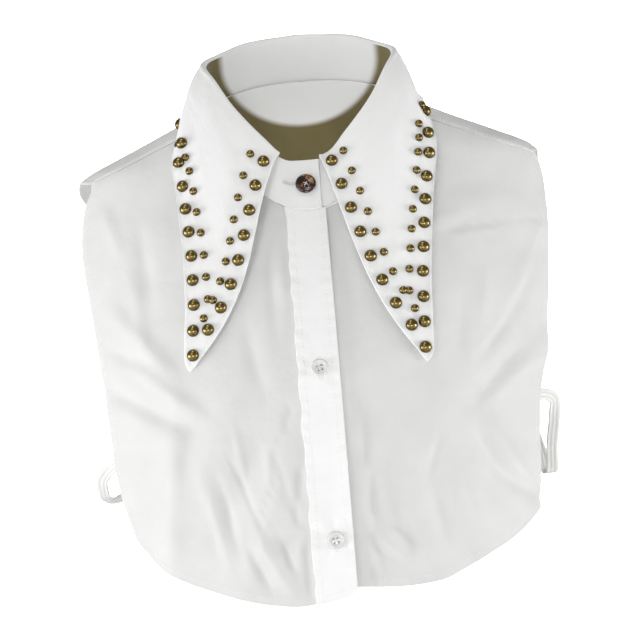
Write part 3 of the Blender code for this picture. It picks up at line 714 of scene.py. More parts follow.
def cottonPoplin(name, face, shade, withPaintedNeckShade=False):
    material = newMaterial(name)
    place = flatPlace(material)
    flatNoise = {"noise_dimensions": "2D"}
    rib = 1000 / poplin["rib"]
    warpScale = (rib, poplin["threadStretch"] / poplin["rib"], 1)
    warp = addNode(material, "ShaderNodeMapping", Vector=place, Scale=warpScale)
    threads = addNode(
        material, "ShaderNodeTexNoise", flatNoise, Vector=warp.outputs[0], Scale=1.0, Detail=2.0
    )
    bands = {"bands_direction": "Y"}
    weft = addNode(
        material, "ShaderNodeTexWave", bands, Vector=place, Scale=rib / waveTurn, Distortion=0.6, Detail=1.0
    )
    wide = 1000 / poplin["rumple"]
    rumples = addNode(
        material, "ShaderNodeTexNoise", flatNoise, Vector=place, Scale=wide, Detail=3.0, Roughness=0.5
    )
    bumps = (
        (0.22, 0.004, rumples.outputs[0]), (0.12, 0.0004, threads.outputs[0]), (0.06, 0.0003, weft.outputs[1])
    )
    normal = {}
    for strength, distance, height in bumps:
        bump = addNode(
            material, "ShaderNodeBump", Strength=strength, Distance=distance, Height=height, **normal
        )
        normal = {"Normal": bump.outputs[0]}
    # The rumples' hollows take the darker shade colour and their crests the face colour: a faint painted
    # shade that follows the bumps.
    colour = mixColours(material, rumples.outputs[0], linear(shade), linear(face))
    # Inside the neck, the face colour paints a pale patch of light and the dull colour about it paints the
    # shade.
    if withPaintedNeckShade:
        colour = mixColours(material, paintedNeckShade(material), linear(poplin["face"]), colour)
    setSurface(material, Base_Color=colour, Roughness=0.86, Specular_IOR_Level=0.3, **normal)
    setSurface(material, Sheen_Weight=0.12, Sheen_Roughness=0.5)
    return material


# Antique brass, stamped and polished, then chemically aged: olive gold, with dark brown left low on the dome.
# The dark tones are partly this aged finish and partly painted reflection, standing in for the dark
# surroundings that the domes reflect.
def antiqueBrass():
    material = newMaterial("antiqueBrass")
    tarnish = addNode(material, "ShaderNodeTexNoise", Vector=objectPlace(material), Scale=420.0, Detail=3.0)
    height = addNode(material, "ShaderNodeAttribute", {"attribute_name": "domeHeight"})
    total = reckon(material, "MULTIPLY_ADD", tarnish.outputs[0], 0.35, height.outputs["Fac"])
    rough = addNode(material, "ShaderNodeMapRange", i0=tarnish.outputs[0], i3=0.16, i4=0.34)
    colour = colourRamp(material, total, (0.15, "#35290f"), (0.95, "#8c7a4c"))
    setSurface(material, Base_Color=colour, Metallic=1.0, Roughness=rough.outputs[0])
    return material


# Cast polyester resin with tortoiseshell mottling, buffed: amber clouds in near black under a clear gloss.
def tortoiseshellResin():
    material = newMaterial("tortoiseshellResin")
    place = objectPlace(material)
    clouds = addNode(material, "ShaderNodeTexNoise", Vector=place, Scale=150.0, Detail=2.5, Distortion=0.8)
    colour = colourRamp(material, clouds.outputs[0], (0.47, "#150a06"), (0.56, "#4a2410"), (0.68, "#a8742e"))
    setSurface(material, Base_Color=colour, Roughness=0.16, IOR=1.56, Coat_Weight=0.8, Coat_Roughness=0.06)
    return material


# Moulded clear polyester, slightly milky: the button takes the white of the cloth with a small hard glint.
def milkyPlastic():
    material = newMaterial("milkyPlastic")
    place = objectPlace(material)
    swirl = addNode(material, "ShaderNodeTexNoise", Vector=place, Scale=90.0, Detail=2.0, Distortion=1.2)
    colour = colourRamp(material, swirl.outputs[0], (0.0, "#eeeeec"), (1.0, "#fbfbfa"))
    setSurface(material, Base_Color=colour, Roughness=0.16, IOR=1.56, Transmission_Weight=0.25)
    return material


# Flat braided elastic: rubber cores in rows under polyester yarn, which give ribs along the strap.
elasticWeave = {"core": 1.5, "yarn": 0.9}  # mm between cores and between yarns


def braidedElastic():
    material = newMaterial("braidedElastic")
    place = flatPlace(material)
    core, yarn = (1000 / elasticWeave[name] / waveTurn for name in ("core", "yarn"))
    ribs = addNode(material, "ShaderNodeTexWave", {"bands_direction": "X"}, Vector=place, Scale=core)
    yarns = addNode(
        material, "ShaderNodeTexWave", {"bands_direction": "Y"}, Vector=place, Scale=yarn, Distortion=1.0
    )
    total = reckon(material, "MULTIPLY_ADD", yarns.outputs[1], 0.4, ribs.outputs[1])
    bump = addNode(material, "ShaderNodeBump", Strength=0.5, Distance=0.0005, Height=total)
    # The grooves between the ribs are painted darker than the ribs: painted shade that follows the bumps.
    colour = mixColours(material, ribs.outputs[1], linear("#dededb"), linear("#f1f1ee"))
    setSurface(material, Base_Color=colour, Normal=bump.outputs[0], Roughness=0.8)
    return material


# Spun polyester thread, slightly brighter than the cloth it sits in.
def sewingThread():
    material = newMaterial("sewingThread")
    twist = addNode(material, "ShaderNodeTexNoise", Vector=objectPlace(material), Scale=900.0)
    colour = colourRamp(material, twist.outputs[0], (0.0, "#e6e6e2"), (1.0, "#fafaf7"))
    setSurface(material, Base_Color=colour, Roughness=0.6)
    return material


shirting = cottonPoplin("cottonPoplin", poplin["thinFace"], poplin["thinShade"])
collarCloth = cottonPoplin("cottonPoplinDoubled", poplin["face"], poplin["shade"])
# the wrong side of the back and the stand, with painted light and painted shade inside the neck
shirtingPaintedShade = cottonPoplin("cottonPoplinPaintedShade", poplin["paintedShadeFace"], poplin["paintedShadeDeep"], True)
brass = antiqueBrass()
tortoiseshell = tortoiseshellResin()
plastic = milkyPlastic()
elastic = braidedElastic()
thread = sewingThread()
print("materials made")


def addPiece(name, shape, material):
    mesh = bpy.data.meshes.new(name)
    shape.to_mesh(mesh)
    shape.free()
    mesh.materials.append(material)
    piece = bpy.data.objects.new(name, mesh)
    bpy.context.scene.collection.objects.link(piece)
    return piece


def finishPiece(piece, slot):
    piece.data.shade_smooth()
    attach(piece, "root")


# Points the shape's z axis along out.
def facing(out):
    return out.to_track_quat("Z", "Y").to_matrix().to_4x4()


# Narrow hems, the same on the fronts and the back, in mm.
hems = {
    "width": 6.0,
    "stitchAt": 4.6,
    "stitchOut": 0.62,
    "pucker": 0.22,
    "puckerPitch": 8.5,
    "puckerReach": 7.0,
}
hemLines = (0.5, 1.2, hems["width"], hems["width"] + 0.7, hems["width"] + 3)


# The small waves that a hem's stitching draws along an edge.
def hemWave(fromEdge, along, start=0.0):
    near = math.exp(-((fromEdge / hems["puckerReach"]) ** 2))
    return near * math.sin(along / hems["puckerPitch"] * math.tau + start)


# A wall's full share on the hems along the side and the bottom, and less on the open cloth.
def hemFullness(fromSide, fromHem, thin):
    return 1.0 if min(fromSide, fromHem) < hems["width"] + 0.01 else thin


# Shares from 0 to 1 for a row of grid lines, with lines set close beside the edges that carry a hem.
def gridShares(count, length, low=(), high=(), corners=()):
    close = [*corners, *[d / length for d in low], *[1 - d / length for d in high]]
    start = max([d / length for d in low], default=0.0)
    stop = 1 - max([d / length for d in high], default=0.0)
    inner = max(2, round(count * (stop - start)))
    shares = {0.0, 1.0, *close, *[start + (stop - start) * i / inner for i in range(inner + 1)]}
    ordered = sorted(shares)
    kept = [ordered[0]]
    for share in ordered[1:]:
        if share - kept[-1] > 1e-6:
            kept.append(share)
    return kept


# A sheet of cloth with real thickness. place and flat give a point in space and on the flat cloth, and
# fullness the share of the wall's thickness there, which is more at a hem.
def clothPiece(name, acrossShares, alongShares, place, flat, fullness, wall, material, inner=None):
    return clothPieces(name, [(place, flat)], acrossShares, alongShares, fullness, wall, material, inner)


# The same for a piece made in parts, each with its own place and flat, which join where they meet. inner is
# the material of its wrong side.
def clothPieces(name, parts, acrossShares, alongShares, fullness, wall, material, inner=None):
    sheet = bmesh.new()
    uv = sheet.loops.layers.uv.new("flat")
    weights = sheet.verts.layers.deform.verify()
    lastU, lastV = len(acrossShares) - 1, len(alongShares) - 1
    for place, flat in parts:
        grid = bmesh.ops.create_grid(sheet, x_segments=lastU, y_segments=lastV, size=0.5)
        spots = {}
        for corner in grid["verts"]:
            u = acrossShares[round((corner.co.x + 0.5) * lastU)]
            v = alongShares[round((corner.co.y + 0.5) * lastV)]
            spots[corner] = (u, v)
            corner.co = place(u, v) * mm
            corner[weights][0] = fullness(u, v)
        for face in {face for corner in spots for face in corner.link_faces}:
            for loop in face.loops:
                x, y = flat(*spots[loop.vert])
                loop[uv].uv = (x * mm, y * mm)
    bmesh.ops.remove_doubles(sheet, verts=sheet.verts, dist=0.01 * mm)
    bmesh.ops.recalc_face_normals(sheet, faces=sheet.faces)
    # an open sheet can come out facing in, so it is turned to face away from the neck's axis
    level = Vector((1, 1, 0))
    if sum(face.calc_area() * face.normal.dot(face.calc_center_median() * level) for face in sheet.faces) < 0:
        bmesh.ops.reverse_faces(sheet, faces=sheet.faces)
    piece = addPiece(name, sheet, material)
    piece.vertex_groups.new(name="wall")
    thick = piece.modifiers.new("thickness", "SOLIDIFY")
    thick.thickness = wall * mm
    thick.offset = 0
    if inner:
        piece.data.materials.append(inner)
        thick.material_offset = 1
    thick.vertex_group = "wall"
    thick.thickness_vertex_group = 0
    smooth = piece.modifiers.new("soft", "SUBSURF")
    smooth.levels = smooth.render_levels = 1
    finishPiece(piece, "white_poplin")
    return piece


# The two fronts. The wall is thin cloth, and twice as thick along the narrow hems.
fronts = {
    "columns": 56,
    "rows": 84,
    "wall": 1.5,  # at the hems
    "thin": 0.5,  # share of the wall on the open cloth
}

# Smaller creases than the source's folds, each along a line, placed from the picture.
creaseDepth = 1.9  # times the rise in the table
creaseNarrowing = 0.82  # times the width
creaseRow = namedtuple("creaseRow", "fromX fromZ toX toZ width rise")
creaseRows = [
    # left front, low: drag folds down to the hem, puckers beside the placket
    creaseRow(-71, -267, -55, -311, 1.6, -1.0),
    creaseRow(-36, -253, -40, -281, 1.6, -0.6),
    creaseRow(-40, -281, -52, -309, 1.6, -0.9),
    creaseRow(-52, -309, -59, -335, 1.6, -0.8),
    creaseRow(-55, -321, -37, -360, 4.5, 1.9),
    creaseRow(-41, -324, -33, -350, 3.0, -1.6),
    creaseRow(-63, -330, -50, -362, 3.5, -1.2),
    creaseRow(-81, -282, -71, -329, 3.2, -1.0),
    creaseRow(-91, -278, -79, -339, 5.0, 1.1),
    creaseRow(-155, -213, -104, -240, 7.0, -2.2),
    creaseRow(-132, -197, -91, -234, 7.0, 2.0),
    creaseRow(-108, -236, -120, -336, 10.0, 2.6),
    creaseRow(-146, -159, -105, -207, 8.0, 1.8),
    creaseRow(-153, -184, -125, -197, 6.0, -1.4),
    creaseRow(-66, -246, -63, -274, 2.5, 0.9),
    creaseRow(-44, -263, -46, -287, 2.2, 0.9),
    creaseRow(-35, -275, -34, -297, 3.0, -1.1),
    creaseRow(-25, -231, -31, -248, 3.0, -1.1),
    creaseRow(-23, -277, -24, -298, 3.0, -1.3),
    creaseRow(-30, -298, -26, -315, 2.6, -1.0),
    creaseRow(-25, -326, -32, -351, 2.4, 1.0),
    creaseRow(-22, -332, -22, -362, 2.2, -0.9),
    # left front, high: a pressed line and soft falls from the shoulder
    creaseRow(-113, -135, -94, -137, 1.4, -0.55),
    creaseRow(-152, -80, -143, -110, 5, 0.9),
    creaseRow(-126, -97, -121, -148, 6, -1.1),
    creaseRow(-136, -125, -126, -181, 6, 1.0),
    creaseRow(-53, -176, -45, -220, 7, -1.0),
    creaseRow(-27, -114, -24, -157, 5, 0.9),
    creaseRow(-34, -128, -32, -178, 5, -0.9),
    # right front, high: the pressed line across the chest, and falls towards the side
    creaseRow(91, -117, 135, -113, 1.5, -0.8),
    creaseRow(95, -120, 137, -116, 2.0, 0.7),
    creaseRow(149, -111, 175, -111, 1.5, -0.6),
    creaseRow(98, -116, 116, -107, 3, -0.8),
    creaseRow(114, -200, 139, -174, 2.0, 1.0),
    creaseRow(117, -206, 155, -156, 5, -1.4),
    creaseRow(140, -170, 166, -119, 4, 1.0),
    creaseRow(124, -235, 166, -200, 12, 2.2),
    creaseRow(102, -240, 142, -207, 8, -1.7),
    creaseRow(124, -147, 115, -190, 5, 0.9),
    creaseRow(103, -167, 96, -209, 6, -0.8),
    creaseRow(18, -133, 25, -182, 5, -1.1),
    creaseRow(22, -185, 18, -197, 3, -1.2),
    # right front, low: a deep curved fall to the side, and drags from the lower button
    creaseRow(104, -265, 117, -288, 5, -1.9),
    creaseRow(117, -288, 146, -312, 5.5, -2.3),
    creaseRow(112, -254, 135, -293, 7, 2.0),
    creaseRow(78, -263, 67, -289, 4, -1.0),
    creaseRow(40, -260, 41, -294, 3.2, -0.8),
    creaseRow(14, -313, 51, -349, 3.2, 2.0),
    creaseRow(11, -319, 39, -350, 2.6, -1.6),
    creaseRow(19, -306, 57, -338, 3.5, -1.3),
    creaseRow(10, -259, 18, -268, 3, -1.0),
    creaseRow(13, -274, 22, -281, 3, 1.1),
    creaseRow(13, -290, 23, -302, 3, -1.1),
    creaseRow(49, -304, 56, -348, 4, 0.9),
    creaseRow(69, -299, 76, -336, 4, -1.0),
    creaseRow(85, -287, 93, -323, 4, 0.9),
    creaseRow(103, -296, 115, -326, 4.5, -0.9),
    creaseRow(30, -260, 22, -296, 3, 0.9),
    creaseRow(18, -344, 30, -361, 3.2, 1.6),
    creaseRow(15, -338, 23, -359, 2.6, -1.7),
    # the cloth sinks beside the placket's free edge
    creaseRow(23, -236, 26, -300, 3.6, -1.3),
    creaseRow(24, -290, 28, -352, 4.2, -1.5),
]

# The gathers that a tight button draws in the cloth: each a place with its reach and depth.
gatherSpots = [(-2.8, -207.0, 30.0, 0.55), (-1.5, -328.0, 42.0, 1.0)]


def lineRise(row, x, z):
    run = Vector((row.toX - row.fromX, row.toZ - row.fromZ))
    offset = Vector((x - row.fromX, z - row.fromZ))
    along = offset.dot(run) / run.length_squared
    if not -0.35 < along < 1.35:
        return 0.0
    across = offset.cross(run) / run.length
    fade = math.exp(-((2.1 * (along - 0.5)) ** 4) * 0.5)
    return row.rise * fade * math.exp(-((across / (row.width * creaseNarrowing)) ** 2))


def gatherRise(x, z):
    rise = 0.0
    for middleX, middleZ, reach, depth in gatherSpots:
        offset = Vector((x - middleX, z - middleZ))
        far = offset.length
        if far > reach * 2 or far < 1e-6:
            continue
        turn = math.atan2(offset.y, offset.x)
        spokes = math.cos(5 * turn + 0.7) + 0.6 * math.cos(8 * turn + 2.1)
        rise += depth * 0.5 * spokes * math.exp(-((far / reach) ** 2)) * blend(3.0, 11.0, far)
    return rise


def clothRumple(x, y, amount, size):
    return amount * noise.noise(Vector((x / size, y / size, 3.7)))


# What the cloth of the fronts does beyond the source's big folds.
def creaseHeight(x, z):
    rise = creaseDepth * sum(lineRise(row, x, z) for row in creaseRows) + gatherRise(x, z)
    return rise + clothRumple(x, z, 0.5, 34.0) + clothRumple(z, x, 0.22, 13.0)


def makeFront(name, side, reach):
    lapAngle = math.degrees(math.asin(reach / neckHalfWidth))
    tipAcross = sideEdgeAt[side](sideEdgeRows[0].height)
    seamStart = shoulderSeamRows[0].across
    cornerHeight = sideEdgeRows[-1].height
    corner = sideEdgeAt[side](cornerHeight)

    def neckEdge(s):
        angle = -lapAngle + (seamStartAngle + lapAngle) * s
        point = neckSeam(abs(angle))
        return Vector((math.copysign(point.x, angle), point.z))

    def shoulderEdge(s):
        across = seamStart + (tipAcross - seamStart) * s
        return Vector((across, seamHeightAt(across) - shoulderSeamGap))

    tipHeight = shoulderEdge(1).y

    def sideEdge(v):
        height = cornerHeight + (tipHeight - cornerHeight) * v
        return Vector((sideEdgeAt[side](height), height))

    def hemEdge(u):
        across = -reach + (corner + reach) * u
        return Vector((across, hemAt[side](across)))

    def onBody(edge):
        return lambda s: frontPoint(side * edge(s).x, edge(s).y)

    neckEven, neckLength = evenPlaces(onBody(neckEdge))
    shoulderEven, shoulderLength = evenPlaces(onBody(shoulderEdge))
    sideEven, sideLength = evenPlaces(onBody(sideEdge))
    hemEven, hemLength = evenPlaces(onBody(hemEdge))
    neckShare = round(20 * neckLength / (neckLength + shoulderLength)) / 20
    lower, upper = hemEdge(0).y, neckEdge(0).y
    places = patch(
        joined(lambda s: neckEdge(neckEven(s)), lambda s: shoulderEdge(shoulderEven(s)), neckShare),
        lambda u: hemEdge(hemEven(u)),
        lambda v: Vector((-reach, lower + (upper - lower) * v)),
        lambda v: sideEdge(sideEven(v)),
    )

    def fromEdges(u, v):
        return (1 - u) * hemLength, v * sideLength

    def place(u, v):
        spot = places(u, v)
        lap = 0.0 if side < 0 else -underlapDepth * (1 - blend(13, 30, spot.x))
        fromSide, fromHem = fromEdges(u, v)
        draw = hemWave(fromSide, fromHem) + hemWave(fromHem, u * hemLength, 1)
        calm = 1.0 if side < 0 else blend(16, 30, spot.x)  # the right front is flat under the placket
        rise = creaseHeight(side * spot.x, spot.y) * calm * blend(0, 16, upper + 60 - spot.y + spot.x)
        return frontPoint(side * spot.x, spot.y, lap + rise + hems["pucker"] * draw)

    def fullness(u, v):
        return hemFullness(*fromEdges(u, v), fronts["thin"])

    across = gridShares(fronts["columns"], hemLength, high=hemLines, corners=(neckShare,))
    along = gridShares(fronts["rows"], sideLength + 60, low=hemLines, high=(0.5, 1.2))
    flat = lambda u, v: (side * places(u, v).x, places(u, v).y)
    piece = clothPiece("shirt_" + name, across, along, place, flat, fullness, fronts["wall"], shirting)
    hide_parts(name)
    topStitch("stitching_" + name, [
        (lambda s: place(1 - hems["stitchAt"] / hemLength, s), sideLength, hems["stitchOut"]),
        (lambda s: place(s, hems["stitchAt"] / sideLength), hemLength, hems["stitchOut"]),
    ], bodyOut)
    return piece


# Rows of machine stitches: each row is a curve from 0 to 1, its length, and how far its thread lies proud.
stitching = {"pitch": 3.0, "length": 2.3, "thick": 0.42}


def topStitch(name, rows, outAt):
    seam = bmesh.new()
    for curve, length, proud in rows:
        count = max(2, int(length / stitching["pitch"]))
        even, _ = evenPlaces(curve, 60)
        for i in range(count):
            middle = curve(even((i + 0.5) / count))
            ahead = curve(min(even((i + 0.5) / count) + 0.002, 1.0))
            behind = curve(max(even((i + 0.5) / count) - 0.002, 0.0))
            run = (ahead - behind).normalized()
            out = outAt(middle)
            out = (out - run * out.dot(run)).normalized()
            turn = Matrix((run, out.cross(run), out)).transposed().to_4x4()
            thick = stitching["thick"] / 2
            size = Matrix.Diagonal((stitching["length"] / 2, thick, thick, 1))
            stitch = bmesh.ops.create_icosphere(seam, subdivisions=1, radius=mm)
            spot = Matrix.Translation((middle + out * proud) * mm)
            bmesh.ops.transform(seam, matrix=spot @ turn @ size, verts=stitch["verts"])
    finishPiece(addPiece(name, seam, thread), "white_poplin")


leftFront = makeFront("front_left", -1, leftFrontReach)
rightFront = makeFront("front_right", 1, rightFrontReach)
print("fronts made")


# The back, cut in one with the tops of the shoulders. Its front edge laps over the fronts at the shoulder
# seams.
back = {
    "columns": 52,
    "rows": 84,
    "wall": 1.5,
    "thin": 0.5,
    "seamLap": 2.6,
    "seamLift": 1.0,
    "seamStitchAt": 2.0,
    "seamStitchOut": 0.42,
    "seamStitches": 110.0,  # length of the row
}
backCreaseRows = [
    creaseRow(-70, -120, -30, -320, 13.0, 1.6),
    creaseRow(40, -90, 62, -300, 14.0, -1.5),
    creaseRow(-120, -110, -96, -240, 11.0, -1.2),
    creaseRow(100, -130, 84, -290, 10.0, 1.3),
    creaseRow(-20, -60, 8, -210, 12.0, 1.0),
    creaseRow(-60, -330, -20, -250, 7.0, -0.9),
    creaseRow(20, -340, 50, -250, 6.0, 0.9),
    creaseRow(-90, -40, 60, -52, 9.0, 0.7),
    creaseRow(-110, -300, -80, -200, 6.0, 0.8),
]


def backHalf(side):
    seamStart = shoulderSeamRows[0].across
    tipAcross = sideEdgeAt[side](sideEdgeRows[0].height)

    def neckEdge(s):
        point = neckSeam(180 + (seamStartAngle - 180) * s)
        return Vector((-side * point.x, point.y, point.z))

    def lapEdge(s):  # the folded edge, brought down over the top of the front
        across = seamStart + (tipAcross - seamStart) * s
        height = seamHeightAt(across) - back["seamLap"] * blend(0, 0.06, s)
        return bodyPoint(thetaAt(across, height), height, side)

    armholeTip = bodyPoint(backEdgeRows[-1].theta, backEdgeRows[-1].height, side)

    def armholeEdge(s):
        point = bodyPoint(backEdgeAt["theta"](s), backEdgeAt["height"](s), side)
        return point + (lapEdge(1) - armholeTip) * s**8

    def hemEdge(s):
        corner = backEdgeRows[0]
        theta = 180 + (corner.theta - 180) * s
        return bodyPoint(theta, backHemMiddle + (corner.height - backHemMiddle) * s**4, side)

    def middle(s):
        return bodyPoint(180, backHemMiddle + (neckBackHeight - backHemMiddle) * s, side)

    middleEven, middleLength = evenPlaces(middle)
    neckEven, neckLength = evenPlaces(neckEdge)
    shoulderEven, _ = evenPlaces(lapEdge)
    armholeEven, armholeLength = evenPlaces(armholeEdge)
    hemEven, hemLength = evenPlaces(hemEdge)
    middleShare = round(24 * middleLength / (middleLength + neckLength)) / 24
    places = patch(
        lambda s: lapEdge(shoulderEven(s)),
        lambda s: hemEdge(hemEven(s)),
        joined(lambda s: middle(middleEven(s)), lambda s: neckEdge(neckEven(s)), middleShare),
        lambda s: armholeEdge(armholeEven(s)),
    )

    def place(u, v):
        point = ontoBody(places(u, v))
        out = bodyGap(point)[1]
        fromSeam = (1 - v) * armholeLength
        lift = back["seamLift"] * (1 - blend(3.0, 9.0, fromSeam)) * blend(0, 0.08, u)
        calm = blend(5, 40, fromSeam)
        rise = 0.0
        if point.y > 0:
            rise = creaseDepth * sum(lineRise(row, point.x, point.z) for row in backCreaseRows)
        rise += clothRumple(point.x, point.z + point.y, 0.5, 36.0) + clothRumple(point.z, point.x, 0.2, 14.0)
        fromArmhole, fromHem = (1 - u) * hemLength, v * armholeLength
        draw = hemWave(fromArmhole, fromHem) + hemWave(fromHem, u * hemLength)
        return point + out * (lift + rise * calm + hems["pucker"] * draw)

    return place, hemLength, armholeLength, middleShare


def makeBack():
    halves = {side: backHalf(side) for side in (-1, 1)}
    hemLength, armholeLength, neckCorner = halves[1][1:]
    across = gridShares(back["columns"] // 2, hemLength, high=hemLines)
    along = gridShares(back["rows"], armholeLength, low=hemLines, high=(0.5, 1.2, 3.0), corners=(neckCorner,))

    def fullness(u, v):
        return hemFullness((1 - u) * hemLength, v * armholeLength, back["thin"])

    def flatOf(side):
        return lambda u, v: (side * u * hemLength, v * armholeLength)

    parts = [(halves[side][0], flatOf(side)) for side in (-1, 1)]
    piece = clothPieces("shirt_back", parts, across, along, fullness, back["wall"], shirting, shirtingPaintedShade)
    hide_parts("back_panel")
    rows = []
    for side in (-1, 1):
        at = halves[side][0]
        beside, above = hems["stitchAt"] / hemLength, hems["stitchAt"] / armholeLength
        seam = 1 - back["seamStitchAt"] / armholeLength
        rows.append((lambda s, at=at: at(1 - beside, s), armholeLength, hems["stitchOut"]))
        rows.append((lambda s, at=at: at(s, above), hemLength, hems["stitchOut"]))
        rows.append((lambda s, at=at: at(0.1 + 0.88 * s, seam), back["seamStitches"], back["seamStitchOut"]))
    topStitch("stitching_back", rows, bodyOut)


makeBack()
print("back made")


# The stand: a firm, doubled band, whose left end laps over its right end.
stand = {
    "columns": 150,
    "rows": 10,
    "length": 400.0,
    "depth": 38.0,
    "wall": 1.6,
    "thin": 0.9,
    "edge": 2.0,
    "lines": (0.5, 1.2, 2.0, 2.6),  # grid lines this far in from its edges
    "stitchAt": 1.6,
    "buttonhole": (-19.0, -8.5),
}


def makeStand():
    first = -turnAt(standOverEnd)
    last = 360 + turnAt(standUnderEnd)
    span = last - first
    long, deep, lines = stand["length"], stand["depth"], stand["lines"]
    across = gridShares(stand["columns"], long, low=lines, high=lines)
    along = gridShares(stand["rows"], deep, low=lines, high=lines[:2])

    def place(u, v):
        turn = first + span * u
        ripple = 0.16 * math.sin(turn / 360 * math.tau * 9 + 4 * v) + clothRumple(turn, v * 40, 0.3, 12.0)
        return standPoint(turn, v) + outward(turn) * ripple * blend(0, 0.3, v) * (1 - blend(0.6, 1.0, v))

    def fullness(u, v):
        edge = stand["edge"] + 0.01
        return 1.0 if v * deep < edge or u * long < edge or (1 - u) * long < edge else stand["thin"]

    flat = lambda u, v: (u * long, v * deep)
    piece = clothPiece(
        "stand_band", across, along, place, flat, fullness, stand["wall"], collarCloth, shirtingPaintedShade
    )
    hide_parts("collar_stand")
    topStitch("stitching_stand", [
        (lambda s: place(s, stand["stitchAt"] / deep), long, 0.8),
        (lambda s: place(stand["stitchAt"] / long, s * 0.9), 34.0, 0.8),
    ], lambda point: standGap(point)[1])


makeStand()
print("stand made")


# The fall: two layers turned and pressed, so its edges are slim, round and a little full.
fall = {
    "columns": 150,
    "rolls": 8,
    "rows": 30,
    "length": 520.0,
    "depth": 150.0,
    "rollShare": 0.08,  # share of the grid's depth that the roll takes
    "wall": 1.6,
    "thin": 0.8,
    "edge": 2.2,
    "lines": (0.5, 1.3, 2.2, 3.2),
    "stitchAt": 2.9,
    "stitchOut": 0.75,
    "outerStitches": 560.0,  # length of the row
    "frontStitches": 178.0,
}


def makeFall():
    long, deep, rollShare, lines = fall["length"], fall["depth"], fall["rollShare"], fall["lines"]
    down = [-1 + i / fall["rolls"] for i in range(fall["rolls"])]
    leaf = gridShares(fall["rows"], deep, high=lines)
    along = [rollShare * (d + 1) for d in down] + [rollShare + (1 - rollShare) * s for s in leaf]
    across = gridShares(fall["columns"], long, low=lines, high=lines)

    def place(u, v):
        at = v / rollShare - 1 if v <= rollShare else (v - rollShare) / (1 - rollShare)
        side, share = (-1, 2 * u) if u <= 0.5 else (1, 2 - 2 * u)
        point = leafPoint(side, share, at)
        if at > 0.1:
            out = bodyGap(point)[1]
            calm = blend(0.1, 0.35, at)
            point = point + out * (clothRumple(point.x, point.z, 0.45, 40.0) + 0.12) * calm
        return point

    def fullness(u, v):
        at = (v - rollShare) / (1 - rollShare)
        edge = fall["edge"] + 0.01
        near = (1 - at) * deep < edge or u * long < edge or (1 - u) * long < edge
        return 1.0 if near else fall["thin"]

    flat = lambda u, v: (u * long, v * deep)
    piece = clothPiece("collar_leaves", across, along, place, flat, fullness, fall["wall"], collarCloth)
    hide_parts("collar_fall")
    proud, inset = fall["stitchOut"], fall["stitchAt"]
    rows = [(lambda s: place(0.02 + 0.96 * s, 1 - inset / deep), fall["outerStitches"], proud)]
    for u in (inset / long, 1 - inset / long):
        curve = lambda s, u=u: place(u, rollShare + 0.02 + (0.96 - rollShare) * s)
        rows.append((curve, fall["frontStitches"], proud))
    topStitch("stitching_fall", rows, bodyOut)


makeFall()
print("collar made")


# The placket strip, which follows the left front's creases and is stitched down both edges.
placketStrip = {
    "columns": 12,
    "rows": 130,
    "length": 272.0,
    "wall": 1.8,
    "thin": 0.86,
    "edge": 5.0,
    "hem": 5.9,
    "lines": (0.4, 1.0, 4.6, 5.2),
    "hemLines": (0.5, 1.2, 5.6, 6.2),
    "stitchAt": 4.9,
    "stitchUp": 5.4,
    "freeFrom": -225.0,  # the free edge stands off over its lower half, all the way below freeBelow
    "freeBelow": -265.0,
    "freeLift": 1.3,
}


def makePlacket():
    lift = panelThick / 2 + seamGap + placketThick / 2
    wide, long, lines = placketRight - placketLeft, placketStrip["length"], placketStrip["lines"]
    topAt = lambda x: neckSeam(math.degrees(math.asin(abs(x) / neckHalfWidth))).z - seamGap
    across = gridShares(placketStrip["columns"], wide, low=lines, high=lines)
    along = gridShares(placketStrip["rows"], long, low=placketStrip["hemLines"])

    def place(u, v):
        x = placketLeft + wide * u + (1 - u) * clothRumple(v * long, 0.0, 1.6, 11.0)
        bottom = hemAt[-1](-x) - 0.4
        z = bottom + (topAt(x) - bottom) * v
        fromEdge = min(u, 1 - u) * wide
        draw = 0.3 * math.exp(-((fromEdge / 6) ** 2)) * math.sin(v * long / 9.0 * math.tau + u)
        draw += clothRumple(v * long, u * 9, 0.7, 9.0) * math.exp(-((u * wide / 7) ** 2))
        free = blend(placketStrip["freeFrom"], placketStrip["freeBelow"], z)
        draw += placketStrip["freeLift"] * math.exp(-(((1 - u) * wide / 6) ** 2)) * free
        return frontPoint(x, z, lift + creaseHeight(x, z) + draw)

    def fullness(u, v):
        onEdge = min(u, 1 - u) * wide < placketStrip["edge"] or v * long < placketStrip["hem"]
        return 1.0 if onEdge else placketStrip["thin"]

    flat = lambda u, v: (u * wide, v * long)
    piece = clothPiece(
        "placket_strip", across, along, place, flat, fullness, placketStrip["wall"], collarCloth
    )
    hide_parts("placket")
    topStitch("stitching_placket", [
        (lambda s: place(placketStrip["stitchAt"] / wide, s), long, 0.86),
        (lambda s: place(1 - placketStrip["stitchAt"] / wide, s), long, 0.86),
        (lambda s: place(s, placketStrip["stitchUp"] / long), wide, 0.9),
    ], bodyOut)


makePlacket()
print("placket made")


# Where studs and their like sit on a leaf. The edge curves are measured once.
edgeCurves = {}


def leafEdgeCurve(side, edge):
    if (side, edge) not in edgeCurves:
        if edge == "outer":
            edgeCurves[side, edge] = evenPlaces(lambda s: leafPoint(side, studEdgeShare * s, 1.0))
        else:
            edgeCurves[side, edge] = evenPlaces(lambda s: leafPoint(side, 0.0, 1.0 - s))
    return edgeCurves[side, edge]


